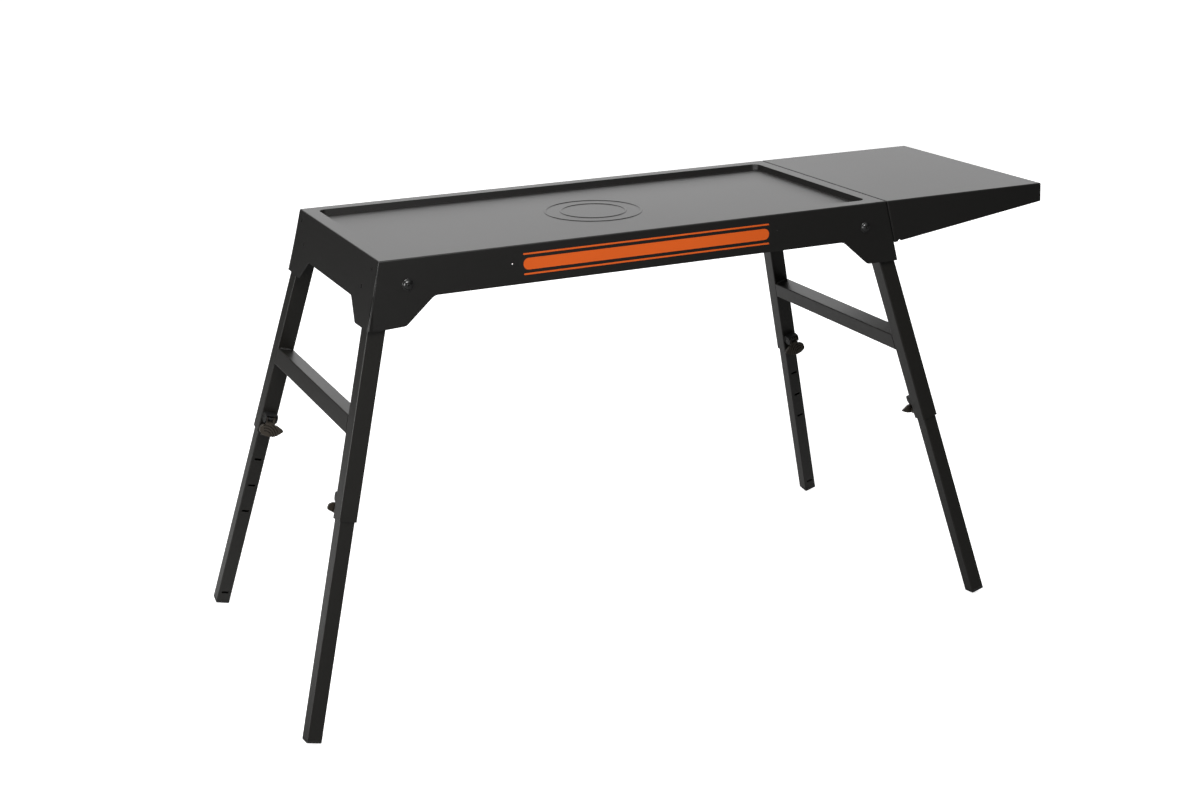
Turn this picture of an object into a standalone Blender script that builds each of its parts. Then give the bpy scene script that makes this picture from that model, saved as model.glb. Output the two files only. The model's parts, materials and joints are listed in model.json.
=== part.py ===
"""Folding, height-adjustable griddle stand: a pressed tray on two splayed leg frames, with a hang-on side shelf.

Everything is laid out with the tray's top at z = 0 and its centre at the origin, X along the tray and the front at -Y.
The last step stands the finished model on z = 0. A leg frame has its origin on its fold axis: local X points outboard,
square to the frame's plane, local Y runs along the axis and local Z runs up the frame. A leg hangs from its outer
corner line: local Z runs up the leg, local X is zero on the outboard face, and Y times the leg's side is zero on the
face that looks away from the frame's other leg.
"""
import math

import bmesh
import bpy
from mathutils import Matrix, Vector

# Tray, in metres
TRAY_LENGTH = 0.980
TRAY_WIDTH = 0.455
STAND_HEIGHT = 0.790
SHEET = 0.0015
FOLD_RADIUS = 0.0025
END_LEAN = math.radians(13.5)
SKIRT_LEAN = math.radians(3.0)
GUSSET_DEPTH = 0.113
SKIRT_DEPTH = 0.067
END_DEPTH = 0.0775
RECESS_HALF_LENGTH = 0.4635
RECESS_HALF_WIDTH = 0.2005
RECESS_DEPTH = 0.0105
RECESS_RADIUS = 0.014
RECESS_DRAFT = 0.003
PEEP_HOLE_X = 0.257
PEEP_HOLE_DEPTH = 0.031
PEEP_HOLE_RADIUS = 0.00225

# Slots in the tray's ends: distance from the centre, depth of the slot's middle and height
HOOK_SLOTS = ((0.203, 0.0171, 0.0056), (0.1676, 0.0536, 0.0077))
SLOT_WIDTH = 0.004
HOOK_THICKNESS = 0.002
HOOK_REACH = 0.0060
LIFT_ANGLE = math.radians(45.0)

# Side shelf
SHELF_GAP = 0.0010
SHELF_END_X = 0.8447
SHELF_WIDTH = 0.4565
SHELF_DEEP = 0.0791
SHELF_SHALLOW = 0.0347
SHELF_LEAN = math.radians(2.0)
RELIEF_X = 0.5206
RELIEF_RADIUS = 0.0030

# Leg frames
LEG_LEAN = math.radians(15.0)
LEG_SPLAY = math.radians(8.5)
LEG_TOP_X = 0.4840
LEG_TOP_Y = 0.2080
PIVOT_X = 0.4435
PIVOT_DEPTH = 0.0436
OUTER_SIDE = 0.0315
INNER_SIDE = 0.0265
TUBE_WALL = 0.0012
OUTER_CORNER = 0.0020
INNER_CORNER = 0.0018
OUTER_START = 0.030
OUTER_END = 0.437
INNER_OVERLAP = 0.050
LEG_TRAVEL = 0.350
CROSSBAR_START = 0.2646
CAP_LENGTH = 0.005
HEIGHT_STEPS = (0.0, 0.056, 0.112, 0.168, LEG_TRAVEL)
LOCK_SLOT_OFFSET = 0.0035
LOCK_SLOT_SIZE = (0.014, 0.0045)

# Hinge bracket and pivot fasteners
BRACKET_FACE = 0.2105
BRACKET_WIDTH = 0.0230
BRACKET_SHEET = 0.0025
BRACKET_NOSE = 0.0110
BOLT_RADIUS = 0.0040
BORE_RADIUS = 0.0043
SPACER_RADIUS = 0.0070
HEAD_RADIUS = 0.0098

# Latch: distances proud of the tube's inward face, from its outboard face (negative) and down from the pin
LATCH_HEIGHT = 0.043
HOUSING_SPAN = (-0.0275, -0.0040)
HOUSING_PROUD = 0.019
HOUSING_SHEET = 0.0015
EAR_RADIUS = 0.009
PIN_PROUD = 0.010
PIN_RADIUS = 0.0025
PIN_BORE = 0.0028
LEVER_SPAN = (-0.0245, -0.0070)
PAD_TOP = 0.0105
PAD_FACE = 0.0100
PAD_THICK = 0.0050
PAD_SLOPE = 0.45
GROOVE_CENTRE = (-0.0080, 0.0320)
GROOVE_RADII = (0.0120, 0.0165, 0.0210, 0.0255)
NOSE_WIDTH = 0.012

GAP = 0.0003

BLACK_COAT = (0.020, 0.019, 0.018)
ZINC = (0.45, 0.45, 0.44)
BLACK_PLASTIC = (0.012, 0.012, 0.012)


def clear_scene():
    """Removes whatever the file holds."""
    for obj in list(bpy.data.objects):
        bpy.data.objects.remove(obj, do_unlink=True)


def finish(name, colour, roughness, metallic):
    """A plain painted, plated or moulded finish."""
    material = bpy.data.materials.new(name)
    material.use_nodes = True
    shader = material.node_tree.nodes["Principled BSDF"]
    shader.inputs["Base Color"].default_value = (*colour, 1.0)
    shader.inputs["Roughness"].default_value = roughness
    shader.inputs["Metallic"].default_value = metallic
    return material


def coated(name):
    return finish(name + "_coat", BLACK_COAT, 0.42, 0.0)


def plated(name):
    return finish(name + "_plate", ZINC, 0.35, 1.0)


def moulded(name):
    return finish(name + "_plastic", BLACK_PLASTIC, 0.5, 0.0)


def empty(name, parent=None, location=(0, 0, 0), rotation=(0, 0, 0)):
    """A named handle for a group of pieces."""
    obj = bpy.data.objects.new(name, None)
    bpy.context.scene.collection.objects.link(obj)
    obj.parent = parent
    obj.location = location
    obj.rotation_euler = rotation
    return obj


def piece(name, bm, material=None, parent=None, location=(0, 0, 0), smooth=False):
    """Turns a bmesh into a named object."""
    bmesh.ops.recalc_face_normals(bm, faces=bm.faces)
    mesh = bpy.data.meshes.new(name)
    bm.to_mesh(mesh)
    bm.free()
    if smooth:
        mesh.shade_smooth()
        mesh.set_sharp_from_angle(angle=math.radians(35))
    if material:
        mesh.materials.append(material)
    obj = bpy.data.objects.new(name, mesh)
    bpy.context.scene.collection.objects.link(obj)
    obj.parent = parent
    obj.location = location
    return obj


def boolean(obj, other, operation):
    """Adds an exact Boolean with a tool object, which is then hidden."""
    modifier = obj.modifiers.new(operation.lower(), "BOOLEAN")
    modifier.operation = operation
    modifier.solver = "EXACT"
    modifier.object = other
    other.hide_render = True
    other.display_type = "WIRE"


def bake(obj, *tools):
    """Keeps the modified shape as the object's own mesh and removes the tool objects."""
    bpy.context.view_layer.update()
    shape = obj.evaluated_get(bpy.context.evaluated_depsgraph_get())
    mesh = bpy.data.meshes.new_from_object(shape)
    plain = obj.data
    obj.modifiers.clear()
    obj.data = mesh
    bpy.data.meshes.remove(plain)
    mesh.name = obj.name
    for tool in tools:
        bpy.data.objects.remove(tool, do_unlink=True)


def rounded(points, segments=4):
    """Rounds an outline: each point is (x, y) or (x, y, radius)."""
    result = []
    count = len(points)
    for index, point in enumerate(points):
        if len(point) == 2 or point[2] == 0:
            result.append(Vector(point[:2]))
            continue
        here = Vector(point[:2])
        back = (Vector(points[index - 1][:2]) - here).normalized()
        ahead = (Vector(points[(index + 1) % count][:2]) - here).normalized()
        half = back.angle(ahead) / 2
        reach = point[2] / math.tan(half)
        centre = here + (back + ahead).normalized() * point[2] / math.sin(half)
        start = here + back * reach - centre
        end = here + ahead * reach - centre
        turn = start.angle_signed(end)
        for step in range(segments + 1):
            spoke = start.copy()
            spoke.rotate(Matrix.Rotation(-turn * step / segments, 2))
            result.append(centre + spoke)
    return result


def prism(outline, place, depth):
    """Extrudes an outline: place turns (x, y) into a point, and depth is the vector to the far end."""
    bm = bmesh.new()
    base = bm.faces.new([bm.verts.new(place(x, y)) for x, y in outline])
    grown = bmesh.ops.extrude_face_region(bm, geom=[base])
    moved = [item for item in grown["geom"] if isinstance(item, bmesh.types.BMVert)]
    bmesh.ops.translate(bm, verts=moved, vec=Vector(depth))
    return bm


def block(low, high):
    """An upright box between two corners."""
    low, high = Vector(low), Vector(high)
    bm = bmesh.new()
    bmesh.ops.create_cube(bm, size=1.0)
    bmesh.ops.scale(bm, verts=bm.verts, vec=high - low)
    bmesh.ops.translate(bm, verts=bm.verts, vec=(low + high) / 2)
    return bm


def rod(radius, start, end, sides=24):
    """A cylinder between two points."""
    start, end = Vector(start), Vector(end)
    bm = bmesh.new()
    turn = (end - start).to_track_quat("Z", "Y").to_matrix().to_4x4()
    bmesh.ops.create_cone(
        bm, cap_ends=True, segments=sides, radius1=radius, radius2=radius, depth=(end - start).length,
        matrix=Matrix.Translation((start + end) / 2) @ turn,
    )
    return bm


def gather(*parts):
    """Joins several separate solids into one bmesh, for a tool with many cutters."""
    whole = bmesh.new()
    for part in parts:
        bmesh.ops.recalc_face_normals(part, faces=part.faces)
        mesh = bpy.data.meshes.new("part")
        part.to_mesh(mesh)
        part.free()
        whole.from_mesh(mesh)
        bpy.data.meshes.remove(mesh)
    return whole


def turned(profile, axis, steps=32, closed=False):
    """Revolves (radius, distance) points about an axis through the origin."""
    axis = Vector(axis)
    side = Vector((0, 0, 1)) if abs(axis.z) < 0.5 else Vector((1, 0, 0))
    bm = bmesh.new()
    verts = [bm.verts.new(side * radius + axis * along) for radius, along in profile]
    edges = [bm.edges.new(pair) for pair in zip(verts, verts[1:])]
    if closed:
        edges.append(bm.edges.new((verts[-1], verts[0])))
    bmesh.ops.spin(
        bm, geom=verts + edges, cent=(0, 0, 0), axis=axis, dvec=(0, 0, 0), angle=math.tau, steps=steps,
        use_duplicate=False,
    )
    bmesh.ops.remove_doubles(bm, verts=bm.verts, dist=1e-6)
    return bm


def tube_wall(loops):
    """Bridges two closed loops of points into an open wall, ready for a Solidify."""
    bm = bmesh.new()
    rings = [[bm.verts.new(point) for point in loop] for loop in loops]
    count = len(rings[0])
    for index in range(count):
        following = (index + 1) % count
        bm.faces.new((rings[0][index], rings[0][following], rings[1][following], rings[1][index]))
    return bm


def thicken(obj, thickness):
    """Grows a sheet inward into a solid of even thickness."""
    solid = obj.modifiers.new("sheet", "SOLIDIFY")
    solid.thickness = thickness
    solid.offset = -1.0
    solid.use_even_offset = True


def square(low, high, radius, segments=3):
    """The outline of a square with rounded corners, between the same two values each way."""
    return rounded([(x, y, radius) for x, y in ((low, low), (high, low), (high, high), (low, high))], segments)


def square_tube(name, side, radius, inset, start, end, leg, material):
    """A square tube along a leg, between two distances down it."""
    low, high = -OUTER_SIDE + inset, -inset
    corners = square(low, high, radius)
    loops = [[(x, leg.side * y, -z) for x, y in corners] for z in (start, end)]
    assert math.isclose(high - low, side)
    obj = piece(name, tube_wall(loops), material, leg.root, smooth=True)
    outward_first(obj, Vector((low + high, leg.side * (low + high), -(start + end))) / 2)
    thicken(obj, TUBE_WALL)
    return obj


def outward_first(obj, centre):
    """Flips an open wall whose faces look at its own centre line."""
    face = obj.data.polygons[0]
    spoke = face.center - centre
    spoke -= spoke.project(obj.data.vertices[face.vertices[0]].co - obj.data.vertices[face.vertices[-1]].co)
    if spoke.dot(face.normal) < 0:
        obj.data.flip_normals()


def skirt_outline():
    """The lower edge of the front or back skirt, from one bottom corner to the other, as (x, depth)."""
    corner = TRAY_LENGTH / 2 + GUSSET_DEPTH * math.tan(END_LEAN)
    half = [
        (0.3975, SKIRT_DEPTH, 0.018),
        (0.4500, GUSSET_DEPTH, 0.013),
    ]
    middle = [(-x, depth, radius) for x, depth, radius in reversed(half)] + half
    return [(-corner, GUSSET_DEPTH)] + middle + [(corner, GUSSET_DEPTH)]


def end_outline():
    """The lower edge of an end panel as (y, depth)."""
    corner = TRAY_WIDTH / 2 + GUSSET_DEPTH * math.tan(SKIRT_LEAN)
    half = [
        (0.1255, END_DEPTH, 0.010),
        (0.1660, GUSSET_DEPTH + 0.0015, 0.010),
    ]
    middle = [(-y, depth, radius) for y, depth, radius in reversed(half)] + half
    return [(-corner, GUSSET_DEPTH)] + middle + [(corner, GUSSET_DEPTH)]


def rounded_rectangle(half_x, half_y, radius, segments):
    """Four arcs as separate lists, anticlockwise from the (+, +) corner."""
    arcs = []
    for quarter in range(4):
        angle = math.pi / 2 * quarter
        signs = ((1, 1), (-1, 1), (-1, -1), (1, -1))[quarter]
        centre = Vector((signs[0] * (half_x - radius), signs[1] * (half_y - radius)))
        arc = []
        for step in range(segments + 1):
            turn = angle + math.pi / 2 * step / segments
            arc.append(centre + radius * Vector((math.cos(turn), math.sin(turn))))
        arcs.append(arc)
    return arcs


def tray_sheet():
    """The tray's outer surface as one open sheet: rim, sunken floor, two skirts and two leaning ends."""
    bm = bmesh.new()
    half_x, half_y = TRAY_LENGTH / 2, TRAY_WIDTH / 2
    signs = ((1, 1), (-1, 1), (-1, -1), (1, -1))
    corners = [bm.verts.new((sx * half_x, sy * half_y, 0)) for sx, sy in signs]
    rim = [
        [bm.verts.new((*point, 0)) for point in arc]
        for arc in rounded_rectangle(RECESS_HALF_LENGTH, RECESS_HALF_WIDTH, RECESS_RADIUS, 5)
    ]
    floor = [
        [bm.verts.new((*point, -RECESS_DEPTH)) for point in arc]
        for arc in rounded_rectangle(
            RECESS_HALF_LENGTH - RECESS_DRAFT, RECESS_HALF_WIDTH - RECESS_DRAFT, RECESS_RADIUS - RECESS_DRAFT, 5
        )
    ]
    for index in range(4):
        following = (index + 1) % 4
        bm.faces.new([corners[index]] + rim[index][::-1])
        bm.faces.new((corners[index], corners[following], rim[following][0], rim[index][-1])[::-1])
    top = [vert for arc in rim for vert in arc]
    bottom = [vert for arc in floor for vert in arc]
    count = len(top)
    for index in range(count):
        following = (index + 1) % count
        bm.faces.new((top[index], top[following], bottom[following], bottom[index]))
    bm.faces.new(bottom)
    lean_x, lean_y = math.tan(END_LEAN), math.tan(SKIRT_LEAN)
    low = GUSSET_DEPTH
    feet = [bm.verts.new((sx * (half_x + low * lean_x), sy * (half_y + low * lean_y), -low)) for sx, sy in signs]
    for side, pair in ((1, (1, 0)), (-1, (2, 3))):
        edge = [bm.verts.new((x, side * (half_y + d * lean_y), -d)) for x, d in rounded(skirt_outline())[1:-1]]
        bm.faces.new([corners[pair[0]], feet[pair[0]]] + edge + [feet[pair[1]], corners[pair[1]]])
    for side, pair in ((1, (3, 0)), (-1, (2, 1))):
        edge = [bm.verts.new((side * (half_x + d * lean_x), y, -d)) for y, d in rounded(end_outline())[1:-1]]
        bm.faces.new([corners[pair[0]], feet[pair[0]]] + edge + [feet[pair[1]], corners[pair[1]]])
    return bm


def folded(obj):
    """Rounds the folds of a sheet and gives it its thickness."""
    fold = obj.modifiers.new("folds", "BEVEL")
    fold.limit_method = "ANGLE"
    fold.angle_limit = math.radians(30)
    fold.width = FOLD_RADIUS
    fold.segments = 3
    thicken(obj, SHEET)


def face_up(bm, point):
    """Points an open sheet's faces the same way as the face under a point, which looks up."""
    bmesh.ops.recalc_face_normals(bm, faces=bm.faces)
    nearest = min(bm.faces, key=lambda face: (face.calc_center_median() - Vector(point)).length)
    if nearest.normal.z < 0:
        bmesh.ops.reverse_faces(bm, faces=bm.faces)


def sheet_piece(name, bm, material, parent):
    """A folded sheet as an object, its faces already looking outward."""
    mesh = bpy.data.meshes.new(name)
    bm.to_mesh(mesh)
    bm.free()
    mesh.materials.append(material)
    obj = bpy.data.objects.new(name, mesh)
    bpy.context.scene.collection.objects.link(obj)
    obj.parent = parent
    return obj


def end_point(side, depth, offset=0.0):
    """A point on an end panel's outer face, moved outward by an offset, as (x, z)."""
    x = TRAY_LENGTH / 2 + depth * math.tan(END_LEAN) + offset * math.cos(END_LEAN)
    return side * x, -depth + offset * math.sin(END_LEAN)


def slot_cutter(side, y, depth, height):
    """A box through an end panel, square to it."""
    bm = bmesh.new()
    x, z = end_point(side, depth)
    bmesh.ops.create_cube(bm, size=1.0, matrix=Matrix.LocRotScale(
        Vector((x, y, z)), Matrix.Rotation(-side * END_LEAN, 3, "Y"), Vector((0.012, SLOT_WIDTH, height))))
    return bm


def make_tray(stand):
    """The pressed tray, with its pivot holes, sight holes and hook slots."""
    bm = tray_sheet()
    face_up(bm, (0, 0, -RECESS_DEPTH))
    tray = sheet_piece("tray", bm, coated("tray"), stand)
    folded(tray)
    cutters = []
    for x, depth, radius in ((PIVOT_X, PIVOT_DEPTH, BORE_RADIUS), (PEEP_HOLE_X, PEEP_HOLE_DEPTH, PEEP_HOLE_RADIUS)):
        for sx in (-1, 1):
            for sy in (-1, 1):
                cutters.append(rod(radius, (sx * x, sy * 0.215, -depth), (sx * x, sy * 0.245, -depth), 20))
    for side in (-1, 1):
        for y, depth, height in HOOK_SLOTS:
            cutters += [slot_cutter(side, sy * y, depth, height) for sy in (-1, 1)]
    tool = piece("tray_holes", gather(*cutters), parent=stand)
    boolean(tray, tool, "DIFFERENCE")
    bake(tray, tool)


def make_stiffener(name, y, stand):
    """A hat channel spot-welded under the tray's floor."""
    top = -RECESS_DEPTH - SHEET - GAP
    wall = 0.0012
    outline = [(-0.027, 0), (-0.0150, 0), (-0.0125, -0.0128), (0.0125, -0.0128), (0.0150, 0), (0.027, 0)]
    outline += [(0.027, -wall), (0.0160, -wall), (0.0135, -0.014), (-0.0135, -0.014), (-0.0160, -wall), (-0.027, -wall)]
    bm = prism(outline, lambda a, b: (-0.43, a, b), (0.86, 0, 0))
    return piece(name, bm, coated(name), stand, (0, y, top))


def hook_prism(y, depth, height):
    """A tab that enters a slot along the lift-off path, in the XZ plane."""
    lift = Vector((math.cos(LIFT_ANGLE), math.sin(LIFT_ANGLE)))
    normal = Vector((math.cos(END_LEAN), math.sin(END_LEAN)))
    down = Vector((math.sin(END_LEAN), -math.cos(END_LEAN)))
    middle = Vector(end_point(1, depth, -SHEET / 2))
    across = Vector((-lift.y, lift.x))
    half = (height * abs(down.dot(across)) - SHEET * abs(normal.dot(across))) / 2 - GAP
    corners = []
    for offset in (SHEET / 2 + SHELF_GAP + SHEET * 0.6, -SHEET / 2 - HOOK_REACH):
        for sign in (1, -1):
            start = middle + across * half * sign
            corners.append(start + lift * (offset - (start - middle).dot(normal)) / lift.dot(normal))
    outline = [corners[0], corners[1], corners[3], corners[2]]
    return prism(outline, lambda x, z: (x, y - HOOK_THICKNESS / 2, z), (0, HOOK_THICKNESS, 0))


def make_shelf(stand):
    """The side shelf: one folded sheet with four tabs that hang in the tray's slots."""
    bm = bmesh.new()
    start = end_point(1, 0, SHELF_GAP)[0]
    half = SHELF_WIDTH / 2
    lean = math.tan(SHELF_LEAN)
    rows = []
    for x, depth, slope in ((start, SHELF_DEEP, math.tan(END_LEAN)), (SHELF_END_X, SHELF_SHALLOW, lean)):
        for side in (-1, 1):
            top = bm.verts.new((x, side * half, 0))
            bottom = bm.verts.new((x + depth * slope, side * (half + depth * lean), -depth))
            rows.append((top, bottom))
    inner_front, inner_back, outer_front, outer_back = rows
    bm.faces.new((inner_front[0], outer_front[0], outer_back[0], inner_back[0]))
    ring = (outer_front, inner_front, inner_back, outer_back)
    for first, second in zip(ring, ring[1:] + ring[:1]):
        bm.faces.new((first[0], second[0], second[1], first[1]))
    face_up(bm, (0.67, 0, 0))
    shelf = sheet_piece("side_shelf", bm, coated("side_shelf"), stand)
    folded(shelf)
    depth = SHELF_DEEP - (SHELF_DEEP - SHELF_SHALLOW) * (RELIEF_X - 0.510) / (SHELF_END_X - 0.510)
    relief = piece("shelf_relief", gather(*[
        rod(RELIEF_RADIUS, (RELIEF_X, sy * 0.22, -depth), (RELIEF_X, sy * 0.24, -depth), 16) for sy in (-1, 1)
    ]), parent=stand)
    boolean(shelf, relief, "DIFFERENCE")
    bake(shelf, relief)
    hooks = piece("shelf_hooks", gather(*[
        hook_prism(sy * y, depth, height) for y, depth, height in HOOK_SLOTS for sy in (-1, 1)
    ]), parent=stand)
    boolean(shelf, hooks, "UNION")
    bake(shelf, hooks)


def skirt_face(depth):
    """Distance from the centre to a skirt's outer face."""
    return TRAY_WIDTH / 2 + depth * math.tan(SKIRT_LEAN)


def make_pivot(leg, stand):
    """One pivot bolt with its spacer sleeve and flanged lock nut, all along Y."""
    out = leg.sign
    place = (leg.end * PIVOT_X, 0, -PIVOT_DEPTH)
    seat = skirt_face(PIVOT_DEPTH + HEAD_RADIUS) + GAP
    tip = BRACKET_FACE - BRACKET_WIDTH - 0.0125
    profile = [(0, tip), (0.0034, tip), (BOLT_RADIUS, tip + 0.0006), (BOLT_RADIUS, seat), (HEAD_RADIUS, seat)]
    profile += [(HEAD_RADIUS, seat + 0.0014), (0.0082, seat + 0.0018), (0.0078, seat + 0.0028), (0.0066, seat + 0.0044)]
    profile += [(0.0044, seat + 0.0054), (0, seat + 0.0057)]
    name = leg.name + "_pivot_bolt"
    bolt = piece(name, turned(profile, (0, out, 0), 20), plated(name), stand, place, smooth=True)
    top = seat + 0.006
    arms = []
    for half_x, half_z in ((0.0030, 0.0006), (0.0006, 0.0030)):
        arms.append(prism(
            [(-half_x, -half_z), (half_x, -half_z), (half_x, half_z), (-half_x, half_z)],
            lambda x, z: (x, out * (top - 0.0028), z), (0, out * 0.004, 0),
        ))
    cross = piece("cross_a", arms[0], parent=stand, location=place)
    other = piece("cross_b", arms[1], parent=stand, location=place)
    boolean(bolt, cross, "DIFFERENCE")
    boolean(bolt, other, "DIFFERENCE")
    bake(bolt, cross, other)

    inner = BRACKET_FACE + GAP
    outer = skirt_face(PIVOT_DEPTH - SPACER_RADIUS) - SHEET / math.cos(SKIRT_LEAN) - GAP
    sleeve = [(BORE_RADIUS, inner), (SPACER_RADIUS, inner), (SPACER_RADIUS, outer), (BORE_RADIUS, outer)]
    name = leg.name + "_pivot_spacer"
    piece(name, turned(sleeve, (0, out, 0), 20, closed=True), plated(name), stand, place, smooth=True)

    face = BRACKET_FACE - BRACKET_WIDTH - GAP
    name = leg.name + "_pivot_nut"
    flange = [(BORE_RADIUS, face), (0.0085, face), (0.0085, face - 0.0012), (0.0070, face - 0.0022)]
    flange += [(0.0070, face - 0.0030), (BORE_RADIUS, face - 0.0030)]
    nut = piece(name, turned(flange, (0, out, 0), 20, closed=True), plated(name), stand, place, smooth=True)
    hexagon = [(0.0075 * math.cos(a), 0.0075 * math.sin(a)) for a in (math.tau * k / 6 for k in range(6))]
    body = piece("hexagon", prism(
        hexagon, lambda x, z: (x, out * (face - 0.0026), z), (0, -out * 0.0064, 0)), parent=stand, location=place)
    bore = piece("nut_bore", rod(BORE_RADIUS, (0, out * (face - 0.03), 0), (0, out * (face + 0.01), 0), 20), parent=stand,
                 location=place)
    boolean(nut, body, "UNION")
    boolean(nut, bore, "DIFFERENCE")
    bake(nut, body, bore)


def frame_numbers():
    """Where the fold axis lies on a leg frame: down its plane from the tray's top, and inboard of its outer face."""
    step = Vector((PIVOT_X - LEG_TOP_X, -PIVOT_DEPTH))
    down = Vector((math.sin(LEG_LEAN), -math.cos(LEG_LEAN)))
    outward = Vector((math.cos(LEG_LEAN), math.sin(LEG_LEAN)))
    return step.dot(down), -step.dot(outward)


class Leg:
    """One leg: its end of the stand, its side of the frame and the empty it hangs from."""

    def __init__(self, name, end, sign, frame):
        down, inboard = frame_numbers()
        self.name = name
        self.end = end
        self.sign = sign
        self.side = sign * end
        self.frame = frame
        self.root = empty(
            name + "_leg", frame, (inboard, self.side * LEG_TOP_Y, down), (self.side * LEG_SPLAY, 0, 0))


def leg_end():
    """Distance down a leg at which its lowest corner meets the ground."""
    inset = (OUTER_SIDE + INNER_SIDE) / 2
    rise = inset * (math.sin(LEG_LEAN) + math.sin(LEG_SPLAY) * math.cos(LEG_LEAN))
    return (STAND_HEIGHT - rise) / (math.cos(LEG_SPLAY) * math.cos(LEG_LEAN))


def make_outer_tube(leg):
    name = leg.name + "_outer_tube"
    tube = square_tube(name, OUTER_SIDE, OUTER_CORNER, 0.0, OUTER_START, OUTER_END, leg, coated(name))
    bake(tube)


def make_inner_tube(leg):
    """The sliding tube, slotted on the face that looks at the frame's other leg."""
    name = leg.name + "_inner_tube"
    inset = (OUTER_SIDE - INNER_SIDE) / 2
    start, end = OUTER_END - INNER_OVERLAP, leg_end() - CAP_LENGTH - GAP
    tube = square_tube(name, INNER_SIDE, INNER_CORNER, inset, start, end, leg, coated(name))
    face = leg.side * (-OUTER_SIDE + inset)
    width, height = LOCK_SLOT_SIZE
    slots = []
    for step in HEIGHT_STEPS:
        z = -(OUTER_END + LOCK_SLOT_OFFSET + step)
        slots.append(block((-OUTER_SIDE / 2 - width / 2, face - 0.003, z - height / 2),
                           (-OUTER_SIDE / 2 + width / 2, face + 0.003, z + height / 2)))
    tool = piece("slots", gather(*slots), parent=leg.root)
    boolean(tube, tool, "DIFFERENCE")
    bake(tube, tool)


def make_foot_cap(leg):
    """A square plug with a flange, cut square to the leg."""
    name = leg.name + "_foot_cap"
    inset = (OUTER_SIDE - INNER_SIDE) / 2
    low, high, end = -OUTER_SIDE + inset, -inset, leg_end()
    corners = square(low, high, INNER_CORNER)
    cap = piece(name, prism(corners, lambda x, y: (x, leg.side * y, -end), (0, 0, CAP_LENGTH)), moulded(name), leg.root)
    inset += TUBE_WALL + GAP
    low, high = -OUTER_SIDE + inset, -inset
    stem = piece("stem", prism(
        square(low, high, 0.0008, 2), lambda x, y: (x, leg.side * y, -end + CAP_LENGTH - 0.001), (0, 0, 0.016)), parent=leg.root)
    boolean(cap, stem, "UNION")
    bake(cap, stem)


def make_crossbar(name, frame):
    """The square tube welded between a frame's two outer tubes, its ends cut to their splay."""
    down, inboard = frame_numbers()
    high, low = down - CROSSBAR_START, down - CROSSBAR_START - OUTER_SIDE
    corners = [(x + inboard, z + high) for x, z in square(-OUTER_SIDE, 0, OUTER_CORNER)]
    loops = []
    for side in (-1, 1):
        loops.append([
            (x, side * (LEG_TOP_Y + (down - z) * math.tan(LEG_SPLAY) - (OUTER_SIDE + GAP * 2) / math.cos(LEG_SPLAY)), z)
            for x, z in corners
        ])
    bar = piece(name, tube_wall(loops), coated(name), frame, smooth=True)
    outward_first(bar, Vector((inboard - OUTER_SIDE / 2, 0, (low + high) / 2)))
    thicken(bar, TUBE_WALL)
    bake(bar)


def make_hinge_bracket(leg):
    """A U bracket welded to the outer tube's inboard face, its ears rounded about the fold axis."""
    name = leg.name + "_hinge_bracket"
    inboard = frame_numbers()[1]
    back = inboard - OUTER_SIDE - GAP
    arc = []
    for step in range(11):
        angle = math.radians(75 + 165 * step / 10)
        arc.append((BRACKET_NOSE * math.cos(angle), BRACKET_NOSE * math.sin(angle)))
    outline = [(back, 0.001)] + arc + [(back - BRACKET_SHEET - 0.002, -0.038), (back, -0.038)]
    near, far = leg.side * (BRACKET_FACE - BRACKET_WIDTH), leg.side * BRACKET_FACE
    bracket = piece(name, prism(outline, lambda x, z: (x, near, z), (0, far - near, 0)), coated(name), leg.frame)
    inside = sorted((near + leg.side * BRACKET_SHEET, far - leg.side * BRACKET_SHEET))
    hollow = block((-0.03, inside[0], -0.06), (back - BRACKET_SHEET, inside[1], 0.03))
    tool = piece("hollow", hollow, parent=leg.frame)
    bore = piece("bore", rod(BORE_RADIUS, (0, near - leg.side * 0.01, 0), (0, far + leg.side * 0.01, 0)),
                 parent=leg.frame)
    boolean(bracket, tool, "DIFFERENCE")
    boolean(bracket, bore, "DIFFERENCE")
    bake(bracket, tool, bore)


def latch_prism(leg, outline, start, end):
    """Extrudes (proud, down) points, measured from the pin, along the pin between two places across the tube."""
    return prism(outline, lambda w, s: (start, -leg.side * w, -s), (end - start, 0, 0))


def pad_prism(leg, outline, low, high):
    """Extrudes (across, down) points from the pin between two depths, measured from the thumb pad's sloping face."""
    return prism(outline, lambda u, s: (u, -leg.side * (pad_face(s) + low), -s), (0, -leg.side * (high - low), 0))


def pad_face(down):
    return PAD_FACE + PAD_SLOPE * (down - PAD_TOP)


def pin_place(leg):
    """The latch pin's middle line, where it crosses the tube's outboard face."""
    return (0, -leg.side * (OUTER_SIDE + PIN_PROUD), -(OUTER_END - LATCH_HEIGHT + EAR_RADIUS))


def pin_bore(leg):
    return piece("bore", rod(PIN_BORE, (-0.05, 0, 0), (0.02, 0, 0), 12), parent=leg.root, location=pin_place(leg))


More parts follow.
